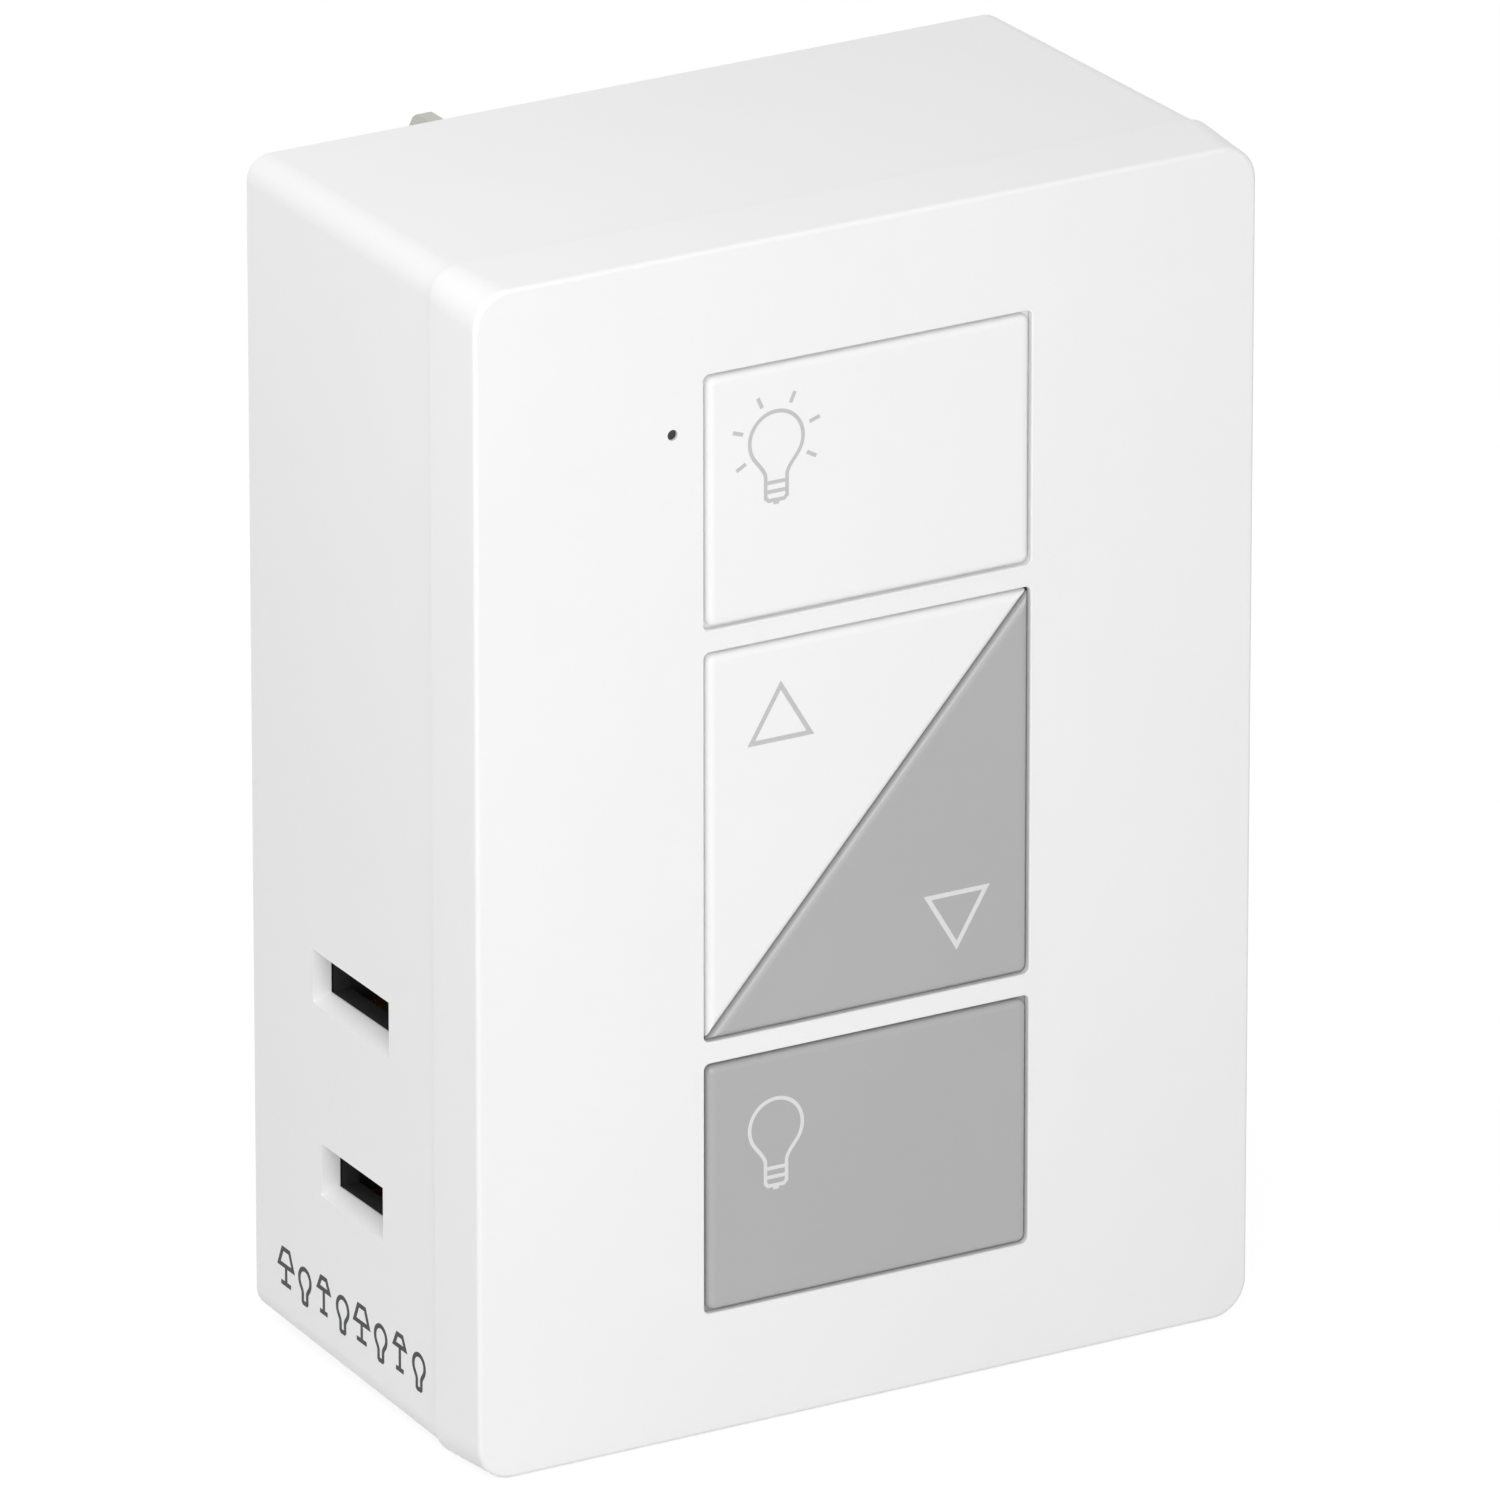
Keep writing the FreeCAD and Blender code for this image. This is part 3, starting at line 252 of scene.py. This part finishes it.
# %% [markdown]
# ## Metals
# A bare metal is all reflection: metallic 1, its own colour, and a roughness that says how it was
# worked. Rolled and brushed sheet has fine lines along one direction, which a noise gives when it is
# stretched: the same noise, read with one axis shrunk. Plated screws and cans have a fine crystal
# mottle instead, which Voronoi cells give.


# %% Sheet metal with fine lines
def drawn_metal(name, dark, light, roughness, along, line=0.07, stretch=40.0, depth=0.002):
    """Metal with lines along one axis: noise whose spacing is one line across and many along.

    along holds 1 for the axis that the lines follow and 0 for the others.
    """
    material, tree, shader, place = surface(name, light, Metallic=1.0)
    scale = [per_metre(line) / (stretch if follows else 1) for follows in along]
    drawn = add(tree, "ShaderNodeMapping", {"Vector": place, "Scale": scale}, vector_type="POINT")
    grains = add(tree, "ShaderNodeTexNoise",
                 {"Vector": drawn.outputs["Vector"], "Scale": 1.0, "Detail": 4.0})
    lines = grains.outputs["Fac"]
    gloss = between(tree, lines, roughness * 0.8, roughness * 1.25)
    tree.links.new(gloss, shader.inputs["Roughness"])
    tint(tree, shader, lines, dark, light)
    relief(tree, shader, lines, depth)
    return material


ALONG_X, ALONG_Y = (1, 0, 0), (0, 1, 0)
finish["plated_blade"] = drawn_metal("brass_nickel_plated_brushed", "#ACABA3", "#C6C5BE", 0.3, ALONG_Y)
finish["contact_brass"] = drawn_metal("brass_rolled_strip", "#B98F45", "#D2AA5C", 0.28, ALONG_X)
finish["aluminium"] = drawn_metal("aluminium_mill_finish", "#B4B6B8", "#C9CBCD", 0.35, ALONG_X, line=0.12)


# %% Plated screws and cans
def plated(name, dark, light, roughness, crystal):
    """Metal with a crystal mottle: each Voronoi cell has its own shade and gloss."""
    material, tree, shader, place = surface(name, light, Metallic=1.0)
    cells = add(tree, "ShaderNodeTexVoronoi", {"Vector": place, "Scale": per_metre(crystal)})
    shade = add(tree, "ShaderNodeSeparateColor", {"Color": cells.outputs["Color"]})
    gloss = between(tree, shade.outputs["Green"], roughness * 0.85, roughness * 1.2)
    tree.links.new(gloss, shader.inputs["Roughness"])
    tint(tree, shader, shade.outputs["Red"], dark, light)
    return material


finish["screw_steel"] = plated("steel_zinc_plated", "#8D9093", "#A3A6AA", 0.32, 0.25)
finish["tinned_steel"] = plated("steel_tin_plated", "#BDBDBA", "#CBCBC8", 0.22, 0.6)


# %% [markdown]
# ## Windings and ferrite
# The coils are wound from enamelled copper wire. Each solid is the outer shape of its winding, so the
# single turns are drawn as waves, one wave to a wire of 0.3 mm, and the colour is painted darker in
# the grooves between turns as shade. The ferrite cores are pressed powder, baked hard: nearly black, a
# little shiny, with open pores.


# %% Enamelled wire
def wire(name, diameter):
    """Copper under amber enamel, in turns: a sine wave along Z, one period to a wire, with painted shade in
    the grooves between turns.
    """
    material, tree, shader, place = surface(
        name, "#B4672E", IOR=1.6, Metallic=0.8, Roughness=0.3, Coat_Weight=0.6, Coat_Roughness=0.12)
    turns_and_groove_shade = add(tree, "ShaderNodeTexWave", {"Vector": place, "Scale": waves_per_metre(diameter)},
                wave_type="BANDS", bands_direction="Z", wave_profile="SIN")
    # painted shade: the colour goes dark in the grooves between the turns and light on their crests
    tint(tree, shader, turns_and_groove_shade.outputs["Fac"], "#6E3411", "#C5773A")
    relief(tree, shader, turns_and_groove_shade.outputs["Fac"], diameter / 3)
    return material


def ferrite():
    """Sintered ferrite: dark grey, with the grain and the pores of a fine noise."""
    material, tree, shader, place = surface("ferrite_sintered", "#25262A", IOR=2.2, Roughness=0.42)
    grain = noise(tree, place, width=0.12, detail=5.0)
    tint(tree, shader, grain, "#1A1B1E", "#303136")
    relief(tree, shader, grain, 0.01)
    return material


finish["copper"] = wire("copper_wire_enamelled", 0.3)
finish["ferrite"] = ferrite()


# %% [markdown]
# ## Board and dipped parts
# A circuit board is glass cloth in epoxy under a green lacquer. The weave shows through as faint
# ribs, and the copper below the lacquer shows as lighter lines, here from a brick pattern whose
# mortar is the gap between the lines. The varistor was dipped in resin, which leaves a surface like
# orange peel, and the capacitors wear a shrunk sleeve that is smooth and glossy.


# %% Circuit board, with its sizes in millimetres
track_length = 7.0
track_pitch = 1.3
track_gap = 0.09
thread_width = 0.5


def circuit_board():
    """Green lacquer over copper: a brick pattern picks the lines, and a wave along X gives the weave."""
    material, tree, shader, place = surface(
        "fr4_board_green_lacquer", "#1E6B41", IOR=1.5, Roughness=0.3, Coat_Weight=0.3)
    flat = add(tree, "ShaderNodeMapping", {"Vector": place, "Rotation": (math.pi / 2, 0, 0)})
    lines = add(tree, "ShaderNodeTexBrick",
                {"Vector": flat.outputs["Vector"], "Scale": per_metre(1.0), "Mortar Size": track_gap,
                 "Brick Width": track_length, "Row Height": track_pitch, "Color1": (1, 1, 1, 1),
                 "Color2": (1, 1, 1, 1), "Mortar": (0, 0, 0, 1)},
                offset_frequency=3, squash_frequency=2, squash=0.6)
    tint(tree, shader, lines.outputs["Color"], "#14532F", "#217547")
    weave = add(tree, "ShaderNodeTexWave", {"Vector": place, "Scale": waves_per_metre(thread_width)},
                wave_type="BANDS", bands_direction="X", wave_profile="SIN")
    relief(tree, shader, weave.outputs["Fac"], 0.004)
    return material


# %% Dipped varistor and sleeved capacitors
def dipped(name, dark, light, lump, depth):
    """Dipped or shrunk skin: glossy, with soft lumps of a width and depth."""
    material, tree, shader, place = surface(name, light, IOR=1.55, Roughness=0.22, Coat_Weight=0.3)
    lumps = noise(tree, place, lump, detail=1.0)
    tint(tree, shader, lumps, dark, light)
    relief(tree, shader, lumps, depth)
    return material


finish["board"] = circuit_board()
finish["varistor_coat"] = dipped("epoxy_dipped_blue", "#1E4C86", "#2A5F9E", 0.6, 0.05)
finish["capacitor_sleeve"] = dipped("pet_sleeve_shrunk", "#12152A", "#1C2038", 2.5, 0.03)

# %% [markdown]
# ## Every solid gets its finish
# The record says which material each solid is made of. One loop hands the finishes out, so no solid
# can be forgotten, and the copper antenna, which has no turns, then gets a plain copper foil instead
# of the wire.

# %% Hand out the finishes
copper_foil = drawn_metal("copper_foil_bare", "#A8633C", "#C98456", 0.3, ALONG_X, line=0.1)
for part in frame["record"]["subparts"]:
    slots = frame["nodes"][part["node"]].data.materials
    slots.clear()
    slots.append(copper_foil if part["node"] == "antenna" else finish[part["material_slot"]])

# %% [markdown]
# ## Printed pictograms
# The marks on the buttons are pad printed: a soft pad presses ink on the finished button. The ink is
# only a few hundredths of a millimetre thick, but it is a thing of its own, so each mark is modelled
# and not painted on. A curve object with a bevel could do it; here the line is worked out in whole
# arrays instead, because corners then come out sharp, as in print. A mark is drawn flat first, in
# millimetres, as a few strokes. Each stroke carries the ink's cross section along a path.

# %% The ink's cross section
ink_width = 0.25
ink_height = 0.02
ink_sink = 0.01
open_stroke_height = 0.85
crossing_step = 0.15
# Places across the stroke, from one edge to the other and back underneath, with their heights
ink_side = np.array([-1.0, -1.0, -0.8, 0.8, 1.0, 1.0])
ink_rise = np.array([-ink_sink, 0.6 * ink_height, ink_height, ink_height, 0.6 * ink_height, -ink_sink])


# %% Carry it along a path
def stroke(points, closed, width=ink_width):
    """Solid line along a flat path: its corners (u, v, height) and its faces.

    With n1 and n2 the unit normals of the edges before and after a point, a corner of the line lies at
    point + side * width / 2 * (n1 + n2) / (1 + n1 . n2), which is the mitre of the two edges.
    """
    points = np.asarray(points, float)
    count, ring = len(points), len(ink_side)
    edges = np.roll(points, -1, axis=0) - points
    if not closed:
        edges[-1] = edges[-2]
    edges /= np.linalg.norm(edges, axis=1, keepdims=True)
    before = np.roll(edges, 1, axis=0)
    if not closed:
        before[0] = edges[0]
    normal = np.stack([-edges[:, 1], edges[:, 0]], axis=1)
    normal_before = np.stack([-before[:, 1], before[:, 0]], axis=1)
    mitre = (normal + normal_before) / (1 + np.sum(normal * normal_before, axis=1, keepdims=True))
    flat = points[:, None, :] + mitre[:, None, :] * (ink_side * width / 2)[None, :, None]
    rise = np.broadcast_to(ink_rise, (count, ring))[..., None]
    corners = np.concatenate([flat, rise], axis=2).reshape(-1, 3)
    i, j = np.meshgrid(np.arange(count if closed else count - 1), np.arange(ring), indexing="ij")
    following, beside = (i + 1) % count, (j + 1) % ring
    here, ahead = i * ring, following * ring
    quads = np.stack([here + j, ahead + j, ahead + beside, here + beside], axis=-1)
    faces = quads.reshape(-1, 4).tolist()
    if not closed:
        faces.append(list(range(ring)))
        faces.append(list(range(count * ring - 1, (count - 1) * ring - 1, -1)))
    return corners, faces


# %% [markdown]
# A drawing is a list of strokes. It becomes a piece when it is laid on the object: one corner of the
# plane is named by where its origin lies, which way its two axes run, and how the surface falls away
# along the first of them. The pictogram then follows the slope of a drafted wall as print does. Where
# two strokes cross, their tops would lie in one plane and flicker, so the open strokes are pressed a
# little thinner than the closed ones, and every second one thinner still.


# %% Lay a drawing on the object
def printed(name, strokes, origin, across, outwards, body, ink, slot, slope=0.0, width=ink_width):
    """Piece from flat strokes: place = origin + u * across + v * up + (height - slope * u) * outwards."""
    corners, faces, first = [], [], 0
    for index, (points, closed) in enumerate(strokes):
        more, more_faces = stroke(points, closed, width)
        more[:, 2] *= 1.0 if closed else open_stroke_height - crossing_step * (index % 2)
        corners.append(more)
        faces += [[first + corner for corner in face] for face in more_faces]
        first += len(more)
    u, v, rise = (np.concatenate(corners) * MM).T
    up = np.array([0.0, 0.0, 1.0])
    places = (np.array(origin) + np.outer(u, across) + np.outer(v, up)
              + np.outer(rise - slope * u, outwards))
    mesh = bpy.data.meshes.new(name)
    mesh.from_pydata(places, [], faces)
    mesh.materials.append(ink)
    piece = bpy.data.objects.new(name, mesh)
    bpy.context.scene.collection.objects.link(piece)
    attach(piece, body)
    print(name, "strokes", len(strokes), "faces", len(faces))


# %% [markdown]
# ## Inks
# Pad printing ink is pigment in a solvent lacquer. It dries matt, with a slight grain from the pad,
# and its edge is a little uneven. Grey ink marks the white buttons and a pale one the grey buttons.


# %% Printing inks
def pad_ink(name, dark, light):
    """Matt lacquer with a fine grain of 0.1 mm from the pad."""
    material, tree, shader, place = surface(name, light, IOR=1.48, Roughness=0.55)
    grain = noise(tree, place, width=0.1, detail=2.0)
    tint(tree, shader, grain, dark, light)
    relief(tree, shader, grain, 0.003)
    return material


grey_ink = pad_ink("pad_ink_light_grey", "#C2C2C2", "#CACACA")
pale_ink = pad_ink("pad_ink_pale", "#DEDEDE", "#E6E6E6")
dark_ink = pad_ink("pad_ink_dark_grey", "#2E2E30", "#3A3A3C")

# %% [markdown]
# ## The lamp bulb
# The sign for a lamp is the old round bulb: a circle that runs over into a neck, a cap with two
# threads, and a contact below. The circle stops 30 degrees below its middle, and from there a Hermite
# curve, which starts and ends with a given direction, leads into the upright neck. The same bulb is
# on both end buttons, once with rays and once without.

# %% Bulb sizes in millimetres
bulb_radius = 1.87
bulb_end_angle = 30.0
circle_points = 49
neck_reach = 0.7
neck_half_width = 0.75
neck_start = -2.35
cap_bottom = -3.9
cap_bevel = 0.2
thread_heights = (-2.73, -3.32)
contact_half_width = 0.2
contact_height = -4.06
ray_inner, ray_outer = 2.45, 3.2
ray_angles = (24.0, 72.0, 119.0)


# %% The bulb's strokes
def hermite(start, start_direction, end, end_direction, steps=10):
    """Points of the cubic p(t) = a t^3 + b t^2 + c t + start with the given ends and end directions."""
    t = np.linspace(0, 1, steps)[:, None]
    start, start_direction, end, end_direction = map(np.array, (start, start_direction, end, end_direction))
    return ((2 * t**3 - 3 * t**2 + 1) * start + (t**3 - 2 * t**2 + t) * start_direction
            + (3 * t**2 - 2 * t**3) * end + (t**3 - t**2) * end_direction)


def bulb():
    """Strokes of the bulb about the circle's middle: the closed outline, two threads, the contact."""
    low = math.radians(bulb_end_angle)
    angle = np.linspace(-low, math.pi + low, circle_points)
    circle = bulb_radius * np.stack([np.cos(angle), np.sin(angle)], axis=1)
    reach = bulb_radius * neck_reach
    neck = hermite(circle[-1], (reach * math.sin(low), -reach * math.cos(low)),
                   (-neck_half_width, neck_start), (0, -reach))
    cap = np.array([(-neck_half_width, cap_bottom + cap_bevel), (-neck_half_width + cap_bevel, cap_bottom)])
    left = np.concatenate([neck[1:], cap])
    outline = np.concatenate([circle, left, left[::-1] * (-1, 1)])
    threads = [([(-neck_half_width, z), (neck_half_width, z)], False) for z in thread_heights]
    contact = ([(-contact_half_width, contact_height), (contact_half_width, contact_height)], False)
    return [(outline, True), *threads, contact]


def rays():
    """Six short strokes round the bulb, in pairs at the same angle left and right of straight up."""
    angle = np.radians([side * a for a in ray_angles for side in (-1, 1)])
    direction = np.stack([np.sin(angle), np.cos(angle)], axis=1)
    return [(np.array([d * ray_inner, d * ray_outer]), False) for d in direction]


# %% [markdown]
# ## The arrows
# Brighter and dimmer are an outlined triangle each, one the other turned over. A closed path of three
# points is enough: the mitre gives the sharp corners.

# %% Arrow strokes
arrow_width = 4.17
arrow_height = 3.5
arrow_ink_width = 0.31


def arrow(way):
    """Closed triangle about the middle of its height; way is 1 for up and -1 for down."""
    half_height = way * arrow_height / 2
    half_width = way * arrow_width / 2
    return [([(0, half_height), (-half_width, -half_height), (half_width, -half_height)], True)]


# %% Print the four buttons
key_axes = {"across": (1, 0, 0), "outwards": (0, -1, 0)}
mark_left = -6.58
bulb_above_middle = 3.32
arrow_from_middle = (6.26, 8.1)


def on_key(key, x, z):
    """Place on a button's face, at x and z in millimetres."""
    return x * MM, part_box(key + "_button")[0].y, z * MM


def key_middle(key):
    """Height of a button's middle, in millimetres."""
    low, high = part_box(key + "_button")
    return (low.z + high.z) / 2 / MM


case_middle = (key_middle("on") + key_middle("off")) / 2
arrow_x, arrow_z = arrow_from_middle
marks = {
    "on": (bulb() + rays(), ink_width, mark_left, key_middle("on") + bulb_above_middle, grey_ink),
    "raise": (arrow(1), arrow_ink_width, -arrow_x, case_middle + arrow_z, grey_ink),
    "lower": (arrow(-1), arrow_ink_width, arrow_x, case_middle - arrow_z, pale_ink),
    "off": (bulb(), ink_width, mark_left, key_middle("off") + bulb_above_middle, pale_ink),
}
for key, (strokes, width, x, z, ink) in marks.items():
    printed(key + "_pictogram", strokes, on_key(key, x, z), body=key + "_key", ink=ink,
            slot="gray_key" if ink is grey_ink else "white_key", width=width, **key_axes)

# %% [markdown]
# ## The row of lamps by the receptacles
# Below each pair of slots, the case carries a dark print that says what belongs there. A row of plain
# lamp signs does that without words: a table lamp, a bulb and a standard lamp. The wall is drafted, so
# two rays sent at it give its place and its slope, and the print follows them.

# %% Signs for the row, in millimetres
sign_height = 2.3
row_pitch = 2.55
row_ink_width = 0.31
bulb_shrink = 0.4


def lamp_sign(shade_top, shade_bottom, shade_height, foot):
    """Strokes of a lamp: the outline of its shade, its stem and its foot, about its middle height."""
    top, bottom = sign_height / 2, -sign_height / 2
    rim = top - shade_height
    shade = [(-shade_top, top), (-shade_bottom, rim), (shade_bottom, rim), (shade_top, top)]
    return [(shade, True), ([(0, rim), (0, bottom)], False), ([(-foot, bottom), (foot, bottom)], False)]


def small_bulb():
    """The bulb's outline, shrunk to the row's height and centred."""
    points = np.array(bulb()[0][0]) * bulb_shrink
    return [(points - (0, points.mean(axis=0)[1]), True)]


table_lamp = lamp_sign(shade_top=0.45, shade_bottom=0.95, shade_height=1.1, foot=0.65)
standard_lamp = lamp_sign(shade_top=0.35, shade_bottom=0.75, shade_height=0.75, foot=0.5)
row = [table_lamp, small_bulb(), standard_lamp, small_bulb()] * 2


def moved(strokes, distance):
    """The same strokes, further along the row."""
    return [(np.array(points) + (distance, 0), closed) for points, closed in strokes]


row_strokes = [one for place, sign in enumerate(row)
               for one in moved(sign, (place - (len(row) - 1) / 2) * row_pitch)]

# %% Find the wall and print the row on both sides
housing = frame["nodes"]["rear_housing"]
row_middle_y, row_middle_z = -13.2, -63.0
probe = 8.0
outside = 100.0


def wall_x(side, y):
    """Where a ray sent at the side wall from outside meets it, at depth y, in millimetres."""
    start = Vector((side * outside, y, row_middle_z)) * MM
    hit, place, _, _ = housing.ray_cast(start, Vector((-side, 0, 0)))
    assert hit, "the ray missed the housing"
    return place.x / MM


for side, side_name in ((-1, "left"), (1, "right")):
    front_x, back_x = (wall_x(side, row_middle_y + step) for step in (-probe, probe))
    lean = (back_x - front_x) / (2 * probe)
    printed("lamp_row_" + side_name, row_strokes,
            (wall_x(side, row_middle_y) * MM, row_middle_y * MM, row_middle_z * MM),
            across=(0, side, 0), outwards=(side, 0, 0), body="case", ink=dark_ink,
            slot="black_plastic", slope=-lean, width=row_ink_width)

# %% [markdown]
# ## Floor and background
# The photograph stands on pure white. More light would bleach the white object too, so the white is
# given only to what looks at it: the camera and mirror-like rays see a floor that glows a little and
# still takes the object's shadow, while light that bounces about sees plain pale board.


# %% What only the eye sees
def seen(tree):
    """Factor of 1 for rays from the camera and through gloss or glass, and 0 for soft bounced light."""
    path = add(tree, "ShaderNodeLightPath")
    either = add(tree, "ShaderNodeMath", operation="MAXIMUM")
    tree.links.new(path.outputs["Is Camera Ray"], either.inputs[0])
    tree.links.new(path.outputs["Is Glossy Ray"], either.inputs[1])
    any_of = add(tree, "ShaderNodeMath", operation="MAXIMUM")
    tree.links.new(either.outputs[0], any_of.inputs[0])
    tree.links.new(path.outputs["Is Transmission Ray"], any_of.inputs[1])
    return any_of.outputs[0]


def choose(tree, factor, plain, shown):
    """Mix of two shaders: the plain one at factor 0, the shown one at factor 1."""
    mix = add(tree, "ShaderNodeMixShader", {0: factor})
    tree.links.new(plain, mix.inputs[1])
    tree.links.new(shown, mix.inputs[2])
    return mix.outputs[0]


# %% Floor
floor_half = 3.0
floor_glow = 0.86


def floor_board():
    """Pale matt board: diffuse for bounced light, a glow plus a weaker diffuse for the eye."""
    material = bpy.data.materials.new("pale_matt_board")
    material.use_nodes = True
    tree = material.node_tree
    tree.nodes.clear()
    plain = add(tree, "ShaderNodeBsdfDiffuse", {"Color": linear("#DADADA")})
    shaded = add(tree, "ShaderNodeBsdfDiffuse", {"Color": linear("#808080")})
    glow = add(tree, "ShaderNodeEmission", {"Strength": floor_glow})
    both = add(tree, "ShaderNodeAddShader", {0: shaded.outputs[0], 1: glow.outputs[0]})
    look = choose(tree, seen(tree), plain.outputs[0], both.outputs[0])
    add(tree, "ShaderNodeOutputMaterial", {"Surface": look})
    return material


floor_z = solids_low.z
floor_mesh = bpy.data.meshes.new("floor")
floor_mesh.from_pydata([(x, y, floor_z) for x, y in ((-floor_half, -floor_half), (floor_half, -floor_half),
                                                     (floor_half, floor_half), (-floor_half, floor_half))],
                       [], [(0, 1, 2, 3)])
floor_mesh.materials.append(floor_board())
floor = bpy.data.objects.new("floor", floor_mesh)
bpy.context.scene.collection.objects.link(floor)
print("floor at z in mm:", round(floor_z / MM, 2))

# %% World
sky_level = 0.61
world = bpy.data.worlds.new("studio")
bpy.context.scene.world = world
world.use_nodes = True
sky = world.node_tree
sky.nodes.clear()
soft = add(sky, "ShaderNodeBackground", {"Color": linear("#FFFFFF"), "Strength": sky_level})
white = add(sky, "ShaderNodeBackground", {"Color": linear("#FFFFFF"), "Strength": 1.0})
add(sky, "ShaderNodeOutputWorld", {"Surface": choose(sky, seen(sky), soft.outputs[0], white.outputs[0])})

# %% [markdown]
# ## The lamps
# The photograph shows two things about its light. The front is brightest, so a large soft box stands
# in front, a little to the left and higher. The top is bright as well, and the left side gets darker
# towards its foot, so a second, smaller soft box hangs close above on the left: light from nearby
# fades over the height of the object.
#
# A low lamp mirrors in the flat top when one looks from behind, and bleaches it. So the front box only
# lights, and the gleam on the rounded edges comes from a card that is higher up and only mirrors.


# %% Two soft boxes and a card
def soft_box(name, azimuth, elevation, distance, size, level, lights=True, mirrors=True):
    """Square lamp that faces the aim and gives a level of P / (pi * distance) ** 2 there, P in watts.

    lights says whether matt surfaces see it, and mirrors whether reflections show it.
    """
    lamp = bpy.data.lights.new(name, "AREA")
    lamp.shape = "SQUARE"
    lamp.size = size
    lamp.energy = level * (math.pi * distance) ** 2
    light = bpy.data.objects.new(name, lamp)
    light.location = aim + towards(azimuth, elevation) * distance
    light.rotation_euler = towards(azimuth, elevation).to_track_quat("Z", "Y").to_euler()
    light.visible_diffuse = lights
    light.visible_glossy = mirrors
    bpy.context.scene.collection.objects.link(light)
    print(name, "of", round(lamp.energy, 2), "W")


soft_box("front_soft_box", azimuth=-27.0, elevation=17.0, distance=0.28, size=0.17, level=0.39,
         mirrors=False)
soft_box("edge_card", azimuth=-44.0, elevation=36.0, distance=0.28, size=0.12, level=0.3, lights=False)
soft_box("upper_soft_box", azimuth=-90.0, elevation=58.0, distance=0.2, size=0.12, level=0.2)
bpy.context.scene.view_settings.view_transform = "Standard"
